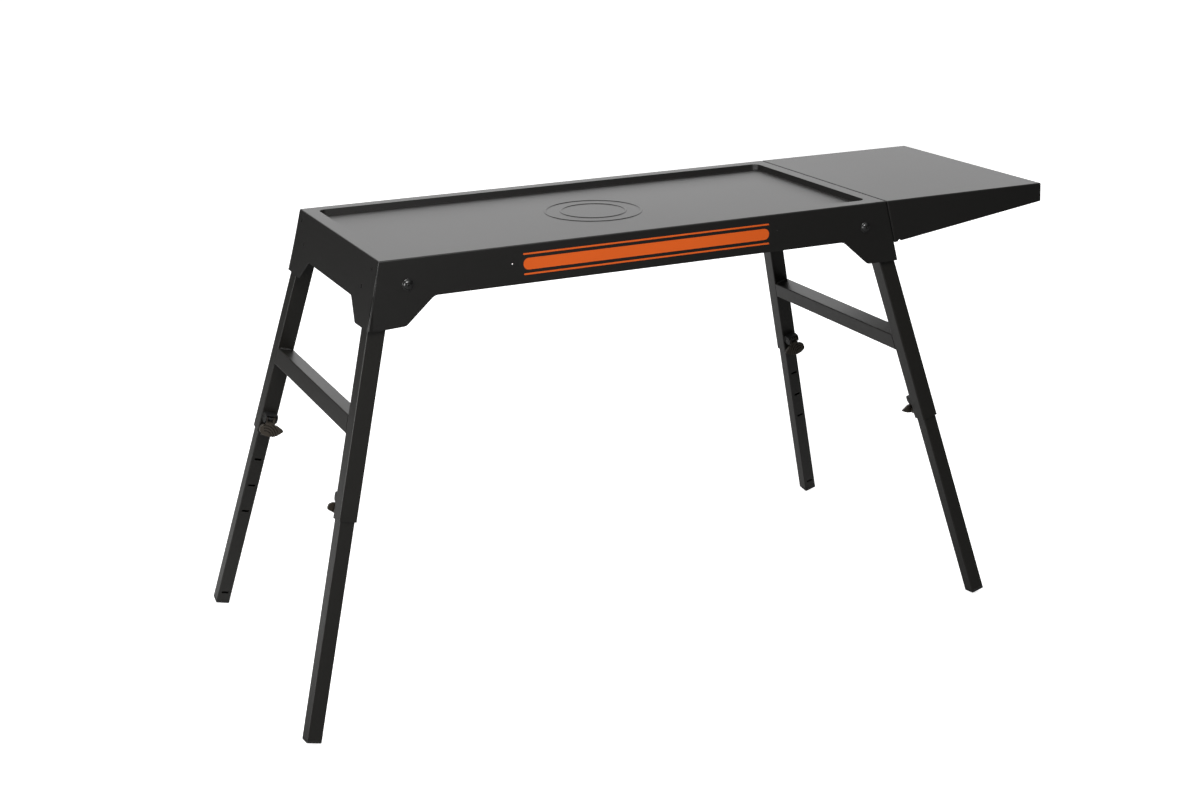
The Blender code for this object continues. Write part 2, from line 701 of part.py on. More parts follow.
def make_latch_housing(leg):
    """A folded channel with two ears and a bridge, welded to the outer tube's inward face."""
    name = leg.name + "_latch_housing"
    place = pin_place(leg)
    foot, nose = -PIN_PROUD + GAP, HOUSING_PROUD - PIN_PROUD
    corners = [(foot, -EAR_RADIUS), (nose, -EAR_RADIUS, 0.006), (nose, EAR_RADIUS, 0.0088), (foot, EAR_RADIUS)]
    outline = rounded(corners, 4)
    low, high = HOUSING_SPAN
    housing = piece(name, latch_prism(leg, outline, low, high), coated(name), leg.root, place)
    base, roof = foot + HOUSING_SHEET, -EAR_RADIUS + HOUSING_SHEET
    inner = [(base, roof), (nose + 0.01, roof), (nose + 0.01, EAR_RADIUS + 0.01), (base, EAR_RADIUS + 0.01)]
    hollow = piece("hollow", latch_prism(leg, inner, low + HOUSING_SHEET, high - HOUSING_SHEET), parent=leg.root,
                   location=place)
    bore = pin_bore(leg)
    boolean(housing, hollow, "DIFFERENCE")
    boolean(housing, bore, "DIFFERENCE")
    bake(housing, hollow, bore)


def make_latch_pin(leg):
    """A riveted pin through the housing's ears."""
    name = leg.name + "_latch_pin"
    near, far = HOUSING_SPAN[1] + GAP, HOUSING_SPAN[0] - GAP
    head = [(0, 0.0010), (0.0030, 0.0010), (0.0038, 0.0005), (0.0038, 0), (PIN_RADIUS, 0)]
    profile = [(r, far - h) for r, h in head] + [(r, near + h) for r, h in reversed(head)]
    bm = turned(profile, (1, 0, 0), 12)
    piece(name, bm, plated(name), leg.root, pin_place(leg), smooth=True)


def make_latch_spring(leg):
    """A torsion spring round the pin, one end on the housing's base and one on the lever."""
    name = leg.name + "_latch_spring"
    radius, wire, turns, per_turn = 0.0037, 0.0005, 4, 7
    points = [(-0.0192, -PIN_PROUD + 0.0030, 0.0060)]
    first = math.radians(150)
    for step in range(turns * per_turn + 1):
        angle = first - math.tau * step / per_turn
        along = -0.0185 + 0.0070 * step / (turns * per_turn)
        points.append((along, radius * math.cos(angle), radius * math.sin(angle)))
    points.append((-0.0110, 0.0008, 0.0055))
    curve = bpy.data.curves.new(name, "CURVE")
    curve.dimensions = "3D"
    curve.bevel_depth = wire
    curve.bevel_resolution = 1
    curve.use_fill_caps = True
    spline = curve.splines.new("POLY")
    spline.points.add(len(points) - 1)
    for target, (along, proud, down) in zip(spline.points, points):
        target.co = (along, -leg.side * proud, -down, 1.0)
    curve.materials.append(plated(name))
    spring = bpy.data.objects.new(name, curve)
    bpy.context.scene.collection.objects.link(spring)
    spring.parent = leg.root
    spring.location = pin_place(leg)


def lever_profile():
    """The lever's middle as (proud, down) from the pin: hub, arm and the heel that passes the tube's end."""
    turns = [math.radians(130 + 25 * step) for step in range(11)]
    hub = [(0.005 * math.cos(turn), 0.005 * math.sin(turn)) for turn in turns]
    end = LATCH_HEIGHT - EAR_RADIUS
    front = [(0.0070, 0.0070)] + [(pad_face(down), down) for down in (PAD_TOP, 0.0270)] + [(0.0120, 0.0285), (0.0020, 0.0298)]
    heel = [(-0.0040, 0.0322), (-0.0068, end + 0.0049), (-0.0088, end + 0.0049), (-0.0088, end - 0.0015)]
    back = [(-0.0060, 0.0282), (0.0020, 0.0245)] + [(pad_face(down) - PAD_THICK, down) for down in (0.0200, 0.0120)]
    return hub + front + heel + back


def pad_outline():
    """The thumb pad as (across, down) from the pin: a blunt end outboard and a point inboard."""
    corners = [
        (-0.0290, 0.0105, 0.005), (-0.0438, 0.0182, 0.0022), (-0.0310, 0.0272, 0.006), (-0.0230, 0.0300, 0.003),
        (-0.0080, 0.0290, 0.003), (0.0038, 0.0245, 0.006), (0.0038, 0.0140, 0.006), (-0.0030, 0.0105, 0.003),
    ]
    return rounded(corners, 2)


def groove(leg, radius):
    """An arc-shaped cutter in the thumb pad's face."""
    across, down = GROOVE_CENTRE
    turns = [math.radians(175 + 110 * step / 5) for step in range(6)]
    ring = [(radius + 0.0007, turn) for turn in turns] + [(radius - 0.0007, turn) for turn in reversed(turns)]
    outline = [(across + r * math.cos(turn), down + r * math.sin(turn)) for r, turn in ring]
    return pad_prism(leg, outline, -0.0007, 0.001)


def make_latch_lever(leg):
    """The spring latch's lever: two knuckles on the pin, a grooved thumb pad, and a nose under the tube's end."""
    name = leg.name + "_latch_lever"
    place = pin_place(leg)
    lever = piece(name, latch_prism(leg, lever_profile(), *LEVER_SPAN), coated(name), leg.root, place)

    def tool(word, bm):
        return piece(word, bm, parent=leg.root, location=place)

    end = LATCH_HEIGHT - EAR_RADIUS
    reach = -PIN_PROUD - (OUTER_SIDE - INNER_SIDE) / 2 + GAP
    tooth = [(reach, end + 0.0019), (-0.0078, end + 0.0019), (-0.0078, end + 0.0049), (reach, end + 0.0049)]
    middle = -OUTER_SIDE / 2
    pad = tool("pad", pad_prism(leg, pad_outline(), -PAD_THICK, 0))
    nose = tool("nose", latch_prism(leg, tooth, middle - NOSE_WIDTH / 2, middle + NOSE_WIDTH / 2))
    notch = tool("notch", block((-0.0205, -0.009, -0.0065), (-0.0095, 0.009, 0.0070)))
    grooves = tool("grooves", gather(*[groove(leg, radius) for radius in GROOVE_RADII]))
    bore = pin_bore(leg)
    for other in (pad, nose):
        boolean(lever, other, "UNION")
    for other in (notch, grooves, bore):
        boolean(lever, other, "DIFFERENCE")
    bake(lever, pad, nose, notch, grooves, bore)


def make_frame(word, end, stand):
    """One folding leg frame: two telescopic legs with their latches, and the crossbar between them."""
    turn = 0.0 if end > 0 else math.pi
    frame = empty(word + "_leg_frame", stand, (end * PIVOT_X, 0, -PIVOT_DEPTH), (0, -LEG_LEAN, turn))
    make_crossbar(word + "_crossbar", frame)
    for row, sign in (("front", -1), ("back", 1)):
        leg = Leg(f"{row}_{word}", end, sign, frame)
        make_pivot(leg, stand)
        make_hinge_bracket(leg)
        make_outer_tube(leg)
        make_inner_tube(leg)
        make_foot_cap(leg)
        make_latch_housing(leg)
        make_latch_pin(leg)
        make_latch_spring(leg)
        make_latch_lever(leg)


def stand_on_floor(stand):
    """Moves the whole model so that the middle of its footprint, at floor level, is the origin."""
    bpy.context.view_layer.update()
    points = []
    for obj in bpy.data.objects:
        if obj.type == "MESH":
            points += [obj.matrix_world @ vert.co for vert in obj.data.vertices]
    low = Vector(min(point[axis] for point in points) for axis in range(3))
    high = Vector(max(point[axis] for point in points) for axis in range(3))
    stand.location = (-(low.x + high.x) / 2, -(low.y + high.y) / 2, -low.z)


def main():
    clear_scene()
    stand = empty("griddle_stand")
    make_tray(stand)
    make_stiffener("front_stiffener", -0.10, stand)
    make_stiffener("back_stiffener", 0.10, stand)
    make_shelf(stand)
    make_frame("left", -1, stand)
    make_frame("right", 1, stand)
    stand_on_floor(stand)


main()
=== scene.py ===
"""Looks of a folding griddle stand: a pressed tray on two splayed leg frames, with a hang-on side shelf.

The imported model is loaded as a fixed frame. Each sub-assembly is a class that holds its sizes in metres,
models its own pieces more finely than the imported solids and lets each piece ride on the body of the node
that it stands for.

Three sets of axes are used. The stand's axes have X along the tray, the front at -Y and z = 0 at the
tray's top. A leg frame has its origin on its fold axis: X points outboard, square to the frame's plane, Y
runs along the axis and Z up the frame. A leg hangs from its outer corner line: Z runs up the leg, X is
zero on the outboard face, and Y times the leg's side is zero on the face that looks away from the frame's
other leg.
"""
import json
import logging
import math
from collections.abc import Callable, Sequence
from dataclasses import dataclass, field
from enum import Enum
from typing import ClassVar

import bmesh
import bpy
from mathutils import Euler, Matrix, Vector

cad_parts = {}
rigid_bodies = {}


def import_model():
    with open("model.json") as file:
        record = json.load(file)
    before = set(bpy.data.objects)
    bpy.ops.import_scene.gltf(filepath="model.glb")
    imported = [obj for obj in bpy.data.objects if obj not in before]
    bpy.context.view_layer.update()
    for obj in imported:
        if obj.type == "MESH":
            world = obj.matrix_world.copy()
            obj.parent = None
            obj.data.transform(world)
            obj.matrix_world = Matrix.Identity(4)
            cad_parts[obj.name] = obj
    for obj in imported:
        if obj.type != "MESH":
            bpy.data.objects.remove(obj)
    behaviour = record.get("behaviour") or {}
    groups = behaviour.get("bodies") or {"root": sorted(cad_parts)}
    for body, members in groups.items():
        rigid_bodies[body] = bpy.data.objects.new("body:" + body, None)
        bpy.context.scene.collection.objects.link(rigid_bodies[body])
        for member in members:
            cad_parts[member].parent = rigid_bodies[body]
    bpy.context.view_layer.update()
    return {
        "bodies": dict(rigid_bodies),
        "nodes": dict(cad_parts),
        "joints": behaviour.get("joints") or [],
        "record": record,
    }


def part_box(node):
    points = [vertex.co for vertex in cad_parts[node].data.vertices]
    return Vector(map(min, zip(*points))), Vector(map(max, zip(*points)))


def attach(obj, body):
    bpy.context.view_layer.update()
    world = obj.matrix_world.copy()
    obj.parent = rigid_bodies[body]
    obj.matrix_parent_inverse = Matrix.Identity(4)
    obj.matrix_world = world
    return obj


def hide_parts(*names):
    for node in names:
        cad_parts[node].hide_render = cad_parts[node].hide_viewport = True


LOG = logging.getLogger("griddle_stand")

Colour = tuple[float, float, float]
Point2 = tuple[float, float]
Shape = bmesh.types.BMesh
Thing = bpy.types.Object


class End(Enum):
    """The stand's two ends, by the sign of X."""

    LEFT = -1
    RIGHT = 1


class Row(Enum):
    """The stand's two long sides, by the sign of Y."""

    FRONT = -1
    BACK = 1


class Cut(Enum):
    """What a tool shape does to a piece."""

    AWAY = "DIFFERENCE"
    ADD = "UNION"
    KEEP = "INTERSECT"


# Shapes: outlines, solids and the tools that cut them


def rounded(points: Sequence[Sequence[float]], segments: int = 5) -> list[Vector]:
    """Rounds the corners of an outline.

    Args:
        points: Corners as (x, y) or (x, y, radius).
        segments: Steps in each rounded corner.

    Returns:
        The outline's points.
    """
    result = []
    count = len(points)
    for index, point in enumerate(points):
        here = Vector(point[:2])
        if len(point) == 2 or point[2] == 0:
            result.append(here)
            continue
        back = (Vector(points[index - 1][:2]) - here).normalized()
        ahead = (Vector(points[(index + 1) % count][:2]) - here).normalized()
        half = back.angle(ahead) / 2
        reach = point[2] / math.tan(half)
        centre = here + (back + ahead).normalized() * point[2] / math.sin(half)
        spoke = here + back * reach - centre
        turn = spoke.angle_signed(here + ahead * reach - centre)
        for step in range(segments + 1):
            arm = spoke.copy()
            arm.rotate(Matrix.Rotation(-turn * step / segments, 2))
            result.append(centre + arm)
    return result


def rounded_box(half_x: float, half_y: float, radius: float, segments: int) -> list[Vector]:
    """Gives a rounded rectangle about the origin, anticlockwise from its (+, -) corner."""
    signs = ((1, -1), (1, 1), (-1, 1), (-1, -1))
    return rounded([(sx * half_x, sy * half_y, radius) for sx, sy in signs], segments)


def rectangle(low: Point2, high: Point2) -> list[Point2]:
    """Gives a rectangle's corners, anticlockwise from its low corner."""
    return [low, (high[0], low[1]), high, (low[0], high[1])]


def prism(outline: Sequence[Sequence[float]], place: Callable[[float, float], Sequence[float]],
          depth: Sequence[float]) -> Shape:
    """Extrudes an outline.

    Args:
        outline: The outline's points.
        place: Turns an outline point into a point in space.
        depth: The vector from the near end to the far end.

    Returns:
        A closed solid.
    """
    bm = bmesh.new()
    base = bm.faces.new([bm.verts.new(place(x, y)) for x, y in outline])
    grown = bmesh.ops.extrude_face_region(bm, geom=[base])
    moved = [item for item in grown["geom"] if isinstance(item, bmesh.types.BMVert)]
    bmesh.ops.translate(bm, verts=moved, vec=Vector(depth))
    return bm


def block(low: Sequence[float], high: Sequence[float]) -> Shape:
    """Makes an upright box between two corners."""
    low, high = Vector(low), Vector(high)
    bm = bmesh.new()
    bmesh.ops.create_cube(bm, size=1.0, matrix=Matrix.LocRotScale((low + high) / 2, None, high - low))
    return bm


def rod(radius: float, start: Sequence[float], end: Sequence[float], sides: int = 32) -> Shape:
    """Makes a cylinder between two points."""
    start, end = Vector(start), Vector(end)
    turn = (end - start).to_track_quat("Z", "Y").to_matrix().to_4x4()
    bm = bmesh.new()
    bmesh.ops.create_cone(
        bm, cap_ends=True, segments=sides, radius1=radius, radius2=radius, depth=(end - start).length,
        matrix=Matrix.Translation((start + end) / 2) @ turn,
    )
    return bm


def bridge(bm: Shape, first: Sequence[bmesh.types.BMVert], second: Sequence[bmesh.types.BMVert]) -> None:
    """Adds the faces between two rings that have equal numbers of points."""
    count = len(first)
    for index in range(count):
        following = (index + 1) % count
        bm.faces.new((first[index], first[following], second[following], second[index]))


def skin(rings: Sequence[Sequence[Sequence[float]]], closed: bool = False) -> Shape:
    """Wraps faces round a row of rings that have equal numbers of points.

    Args:
        rings: Rings of points, in order along the piece.
        closed: True joins the last ring to the first, and False caps both ends.

    Returns:
        A closed solid.
    """
    bm = bmesh.new()
    loops = [[bm.verts.new(point) for point in ring] for ring in rings]
    for first, second in zip(loops, loops[1:]):
        bridge(bm, first, second)
    if closed:
        bridge(bm, loops[-1], loops[0])
    else:
        bm.faces.new(loops[0])
        bm.faces.new(loops[-1])
    return bm


def turned(profile: Sequence[Point2], axis: Sequence[float], steps: int = 48) -> Shape:
    """Revolves an outline of (radius, distance) points about an axis through the origin.

    Args:
        profile: The outline. One that starts and ends on the axis gives a solid, and any other a sleeve.
        axis: The axis, along which distances are counted.
        steps: Steps in the full turn.

    Returns:
        A closed solid.
    """
    axis = Vector(axis).normalized()
    side = Vector((0, 0, 1)) if abs(axis.z) < 0.5 else Vector((1, 0, 0))
    bm = bmesh.new()
    verts = [bm.verts.new(side * radius + axis * along) for radius, along in profile]
    edges = [bm.edges.new(pair) for pair in zip(verts, verts[1:])]
    if profile[0][0] > 0:
        edges.append(bm.edges.new((verts[-1], verts[0])))
    bmesh.ops.spin(
        bm, geom=verts + edges, cent=(0, 0, 0), axis=axis, dvec=(0, 0, 0), angle=math.tau, steps=steps,
        use_duplicate=False,
    )
    bmesh.ops.remove_doubles(bm, verts=bm.verts, dist=1e-6)
    return bm


def swept(points: Sequence[Sequence[float]], radii: Sequence[float], sides: int = 10) -> Shape:
    """Sweeps a circle along a path.

    Args:
        points: The path's points.
        radii: The circle's radius at each point.
        sides: Sides of the circle.

    Returns:
        A closed solid with flat ends.
    """
    path = [Vector(point) for point in points]
    along = (path[1] - path[0]).normalized()
    across = along.orthogonal().normalized()
    rings = []
    for index, centre in enumerate(path):
        ahead = path[min(index + 1, len(path) - 1)] - path[max(index - 1, 0)]
        across = (across - across.project(ahead)).normalized()
        other = ahead.normalized().cross(across)
        angles = [math.tau * step / sides for step in range(sides)]
        rings.append([centre + radii[index] * (across * math.cos(a) + other * math.sin(a)) for a in angles])
    return skin(rings)


def weld_run(start: Vector, end: Vector, radius: float, pitch: float = 0.0021) -> Shape:
    """Lays one straight weld bead, rippled by the puddles it is made of.

    Args:
        start: Where the bead starts.
        end: Where the bead ends.
        radius: Radius of the bead at the top of a ripple.
        pitch: Distance between ripples.

    Returns:
        A closed solid.
    """
    length = (end - start).length
    count = max(2, round(length / pitch)) * 6
    radii = []
    for step in range(count + 1):
        ripple = abs(math.sin(math.pi * step / 6))
        taper = min(1.0, 0.35 + 4 * min(step, count - step) / count)
        radii.append(radius * taper * (0.84 + 0.16 * ripple))
    return swept([start.lerp(end, step / count) for step in range(count + 1)], radii, 8)


def gather(*parts: Shape) -> Shape:
    """Joins several separate solids into one bmesh."""
    whole = bmesh.new()
    for part in parts:
        bmesh.ops.recalc_face_normals(part, faces=part.faces)
        mesh = bpy.data.meshes.new("part")
        part.to_mesh(mesh)
        part.free()
        whole.from_mesh(mesh)
        bpy.data.meshes.remove(mesh)
    return whole


def shaped(name: str, bm: Shape, recalculate: bool = True) -> Thing:
    """Makes a linked object from a bmesh and frees the bmesh.

    Args:
        name: The object's name.
        bm: The shape.
        recalculate: True points the faces outward, and False keeps them as they are.

    Returns:
        The new object.
    """
    if recalculate:
        bmesh.ops.recalc_face_normals(bm, faces=bm.faces)
    mesh = bpy.data.meshes.new(name)
    bm.to_mesh(mesh)
    bm.free()
    obj = bpy.data.objects.new(name, mesh)
    bpy.context.scene.collection.objects.link(obj)
    return obj


def settle(obj: Thing) -> None:
    """Keeps the shape that an object's modifiers give it as its own mesh."""
    bpy.context.view_layer.update()
    shape = obj.evaluated_get(bpy.context.evaluated_depsgraph_get())
    mesh = bpy.data.meshes.new_from_object(shape)
    plain = obj.data
    obj.modifiers.clear()
    obj.data = mesh
    bpy.data.meshes.remove(plain)
    mesh.name = obj.name


def work(obj: Thing, how: Cut, *tools: Shape) -> None:
    """Cuts, joins or trims an object with tool shapes, one after the other."""
    for tool in tools:
        helper = shaped("tool", tool)
        modifier = obj.modifiers.new("tool", "BOOLEAN")
        modifier.operation = how.value
        modifier.solver = "EXACT"
        modifier.object = helper
        settle(obj)
        bpy.data.objects.remove(helper, do_unlink=True)


def soften(obj: Thing, width: float, segments: int = 2, angle: float = 40.0) -> None:
    """Rounds the edges of an object that are sharper than an angle in degrees."""
    modifier = obj.modifiers.new("soft_edges", "BEVEL")
    modifier.limit_method = "ANGLE"
    modifier.angle_limit = math.radians(angle)
    modifier.width = width
    modifier.segments = segments
    settle(obj)


def thicken(obj: Thing, thickness: float) -> None:
    """Grows an outer sheet inward into a solid of even thickness."""
    modifier = obj.modifiers.new("sheet", "SOLIDIFY")
    modifier.thickness = thickness
    modifier.offset = -1.0
    modifier.use_even_offset = True
    settle(obj)


def smooth(obj: Thing, angle: float = 35.0) -> None:
    """Shades an object smooth, with its edges sharper than an angle kept and its flat faces flat."""
    obj.data.shade_smooth()
    obj.data.set_sharp_from_angle(angle=math.radians(angle))
    modifier = obj.modifiers.new("flat_faces", "WEIGHTED_NORMAL")
    modifier.keep_sharp = True
    modifier.weight = 90


# Effects shared by several finishes, each a node group that is built once


class Sketch:
    """Adds nodes to a node tree and links them."""

    def __init__(self, tree: bpy.types.NodeTree) -> None:
        """Starts on a tree."""
        self.tree = tree

    def add(self, kind: str, **settings: object) -> bpy.types.Node:
        """Adds a node.

        Args:
            kind: The node's type, without its ShaderNode prefix.
            **settings: Properties of the node.

        Returns:
            The new node.
        """
        node = self.tree.nodes.new("ShaderNode" + kind)
        for key, value in settings.items():
            setattr(node, key, value)
        return node

    def feed(self, node: bpy.types.Node, **values: object) -> bpy.types.Node:
        """Sets or links a node's inputs.

        Args:
            node: The node.
            **values: A socket to link or a value to set for each input, named with _ for a space. A name that
                starts with in_ is followed by the input's number.

        Returns:
            The same node.
        """
        for key, value in values.items():
            index = int(key[3:]) if key.startswith("in_") else key.replace("_", " ")
            socket = node.inputs[index]
            if isinstance(value, bpy.types.NodeSocket):
                self.tree.links.new(value, socket)
            else:
                socket.default_value = value
        return node

    def sum(self, operation: str, *values: object) -> bpy.types.NodeSocket:
        """Adds a Math node and gives its result."""
        node = self.add("Math", operation=operation)
        self.feed(node, **{f"in_{index}": value for index, value in enumerate(values)})
        return node.outputs[0]

    def noise(self, vector: bpy.types.NodeSocket, scale: object, detail: float = 2.0) -> bpy.types.NodeSocket:
        """Adds a Noise Texture and gives its value."""
        node = self.add("TexNoise")
        self.feed(node, Vector=vector, Scale=scale, Detail=detail)
        return node.outputs["Fac"]

    def span(self, value: bpy.types.NodeSocket, low: float, high: float, to_low: float,
             to_high: float) -> bpy.types.NodeSocket:
        """Maps a value from one range to another, held at its ends."""
        node = self.add("MapRange")
        self.feed(node, Value=value, From_Min=low, From_Max=high, To_Min=to_low, To_Max=to_high)
        return node.outputs["Result"]

    def tint(self, mask: bpy.types.NodeSocket, first: object, second: object) -> bpy.types.NodeSocket:
        """Mixes two colours by a mask."""
        node = self.add("Mix", data_type="RGBA")
        named = {"Factor_Float": mask, "A_Color": first, "B_Color": second}
        for socket in node.inputs:
            value = named.get(socket.identifier)
            if isinstance(value, bpy.types.NodeSocket):
                self.tree.links.new(value, socket)
            elif value is not None:
                socket.default_value = value
        return next(socket for socket in node.outputs if socket.identifier == "Result_Color")


class Effects:
    """The node groups that several finishes share."""

    def __init__(self) -> None:
        """Builds each group once."""
        self.peel = self._peel()
        self.rub = self._rub()
        self.dust = self._dust()
        self.drawn = self._drawn()
        self.cavity = self._cavity()

    @staticmethod
    def _group(name: str, inputs: Sequence[tuple[str, str, float]],
               outputs: Sequence[tuple[str, str]]) -> tuple[Sketch, bpy.types.Node, bpy.types.Node]:
        """Starts a node group.

        Args:
            name: The group's name.
            inputs: Name, socket type and default of each input. A vector has no default.
            outputs: Name and socket type of each output.

        Returns:
            A sketch of the group's tree, its input node and its output node.
        """
        tree = bpy.data.node_groups.new(name, "ShaderNodeTree")
        for title, kind, value in inputs:
            socket = tree.interface.new_socket(name=title, in_out="INPUT", socket_type=kind)
            if kind == "NodeSocketFloat":
                socket.default_value = value
        for title, kind in outputs:
            tree.interface.new_socket(name=title, in_out="OUTPUT", socket_type=kind)
        return Sketch(tree), tree.nodes.new("NodeGroupInput"), tree.nodes.new("NodeGroupOutput")

    def _peel(self) -> bpy.types.NodeTree:
        """Powder coat: the soft ripple of the cured film, its fine grain and a slow drift of tone."""
        sketch, given, result = self._group(
            "coat_peel",
            [("Vector", "NodeSocketVector", 0), ("Peel Scale", "NodeSocketFloat", 650.0),
             ("Grain Scale", "NodeSocketFloat", 3200.0), ("Grain Share", "NodeSocketFloat", 0.3)],
            [("Height", "NodeSocketFloat"), ("Tone", "NodeSocketFloat"), ("Fleck", "NodeSocketFloat")])
        vector = given.outputs["Vector"]
        ripple = sketch.noise(vector, given.outputs["Peel Scale"], 1.0)
        grain = sketch.noise(vector, given.outputs["Grain Scale"], 2.0)
        mixed = sketch.add("Mix", data_type="FLOAT")
        sketch.feed(mixed, in_0=given.outputs["Grain Share"], in_2=ripple, in_3=grain)
        sketch.feed(result, Height=mixed.outputs[0])
        slow = sketch.noise(vector, 2.2, 1.0)
        sketch.feed(result, Tone=sketch.span(slow, 0.32, 0.68, 0.0, 1.0))
        sketch.feed(result, Fleck=sketch.span(grain, 0.66, 0.74, 0.0, 1.0))
        return sketch.tree

    def _rub(self) -> bpy.types.NodeTree:
        """Edges where handling has polished and thinned the coat."""
        sketch, given, result = self._group(
            "edge_rub", [("Vector", "NodeSocketVector", 0), ("Radius", "NodeSocketFloat", 0.0012),
                         ("Breaks Scale", "NodeSocketFloat", 45.0)], [("Mask", "NodeSocketFloat")])
        bevel = sketch.add("Bevel", samples=6)
        sketch.feed(bevel, Radius=given.outputs["Radius"])
        plain = sketch.add("NewGeometry")
        dot = sketch.add("VectorMath", operation="DOT_PRODUCT")
        sketch.feed(dot, in_0=bevel.outputs["Normal"], in_1=plain.outputs["Normal"])
        edge = sketch.span(dot.outputs["Value"], 0.80, 0.985, 1.0, 0.0)
        breaks = sketch.noise(given.outputs["Vector"], given.outputs["Breaks Scale"], 4.0)
        sketch.feed(result, Mask=sketch.sum("MULTIPLY", edge, sketch.span(breaks, 0.42, 0.66, 0.1, 1.0)))
        return sketch.tree

    def _dust(self) -> bpy.types.NodeTree:
        """A thin film of dust on what faces up, in soft patches with a few specks."""
        sketch, given, result = self._group(
            "dust_film", [("Vector", "NodeSocketVector", 0), ("Patch Scale", "NodeSocketFloat", 9.0),
                          ("Speck Scale", "NodeSocketFloat", 420.0)], [("Mask", "NodeSocketFloat")])
        split = sketch.add("SeparateXYZ")
        sketch.feed(split, Vector=sketch.add("NewGeometry").outputs["Normal"])
        up = sketch.span(split.outputs["Z"], 0.55, 0.98, 0.0, 1.0)
        patches = sketch.noise(given.outputs["Vector"], given.outputs["Patch Scale"], 5.0)
        patch = sketch.span(patches, 0.3, 0.8, 0.6, 1.0)
        specks = sketch.noise(given.outputs["Vector"], given.outputs["Speck Scale"], 1.0)
        speck = sketch.span(specks, 0.70, 0.78, 0.0, 1.0)
        film = sketch.sum("ADD", sketch.sum("MULTIPLY", patch, 0.7), sketch.sum("MULTIPLY", speck, 0.5))
        sketch.feed(result, Mask=sketch.sum("MULTIPLY", film, up))
        return sketch.tree

    def _drawn(self) -> bpy.types.NodeTree:
        """Faint lines that run along a rolled tube, wire or bar under its coat."""
        sketch, given, result = self._group(
            "drawn_lines", [("Vector", "NodeSocketVector", 0), ("Line Scale", "NodeSocketFloat", 700.0)],
            [("Height", "NodeSocketFloat")])
        stretch = sketch.add("VectorMath", operation="MULTIPLY")
        sketch.feed(stretch, in_0=given.outputs["Vector"], in_1=(1.0, 1.0, 0.01))
        sketch.feed(result, Height=sketch.noise(stretch.outputs["Vector"], given.outputs["Line Scale"], 3.0))
        return sketch.tree

    def _cavity(self) -> bpy.types.NodeTree:
        """Painted shade in grooves and tight corners: an ambient occlusion mask, with which a coat darkens
        and loses its sheen.
        """
        sketch, given, result = self._group(
            "cavity_grime", [("Reach", "NodeSocketFloat", 0.003)], [("Mask", "NodeSocketFloat")])
        hollow = sketch.feed(sketch.add("AmbientOcclusion", samples=6), Distance=given.outputs["Reach"])
        sketch.feed(result, Mask=sketch.span(hollow.outputs["AO"], 0.45, 0.95, 1.0, 0.0))
        return sketch.tree


# Finishes


def shade(colour: Colour, share: float = 1.0) -> tuple[float, ...]:
    """Gives a colour, darkened or lightened by a share, with full alpha."""
    return (*(share * part for part in colour), 1.0)


class Finish:
    """A finish: builds its material once, on first use."""

    name: str

    def material(self, effects: Effects) -> bpy.types.Material:
        """Gives the finish's material, building it if it isn't there yet."""
        found = bpy.data.materials.get(self.name)
        if found:
            return found
        material = bpy.data.materials.new(self.name)
        material.use_nodes = True
        sketch = Sketch(material.node_tree)
        self.draw(sketch, material.node_tree.nodes["Principled BSDF"], effects)
        return material

    def draw(self, sketch: Sketch, shader: bpy.types.Node, effects: Effects) -> None:
        """Draws the finish's nodes round its shader."""
        raise NotImplementedError

    @staticmethod
    def place(sketch: Sketch) -> bpy.types.NodeSocket:
        """Gives the place on the piece, in the piece's own axes and metres."""
        return sketch.add("TexCoord").outputs["Object"]

    @staticmethod
    def use(sketch: Sketch, group: bpy.types.NodeTree, **values: object) -> bpy.types.Node:
        """Places a shared effect with its own values."""
        node = sketch.add("Group", node_tree=group)
        return sketch.feed(node, **values)

    @staticmethod
    def relief(sketch: Sketch, shader: bpy.types.Node, height: bpy.types.NodeSocket, depth: float) -> None:
        """Raises the surface by a height that is at most depth metres."""
        bump = sketch.feed(sketch.add("Bump"), Height=height, Distance=depth, Strength=1.0)
        sketch.feed(shader, Normal=bump.outputs["Normal"])


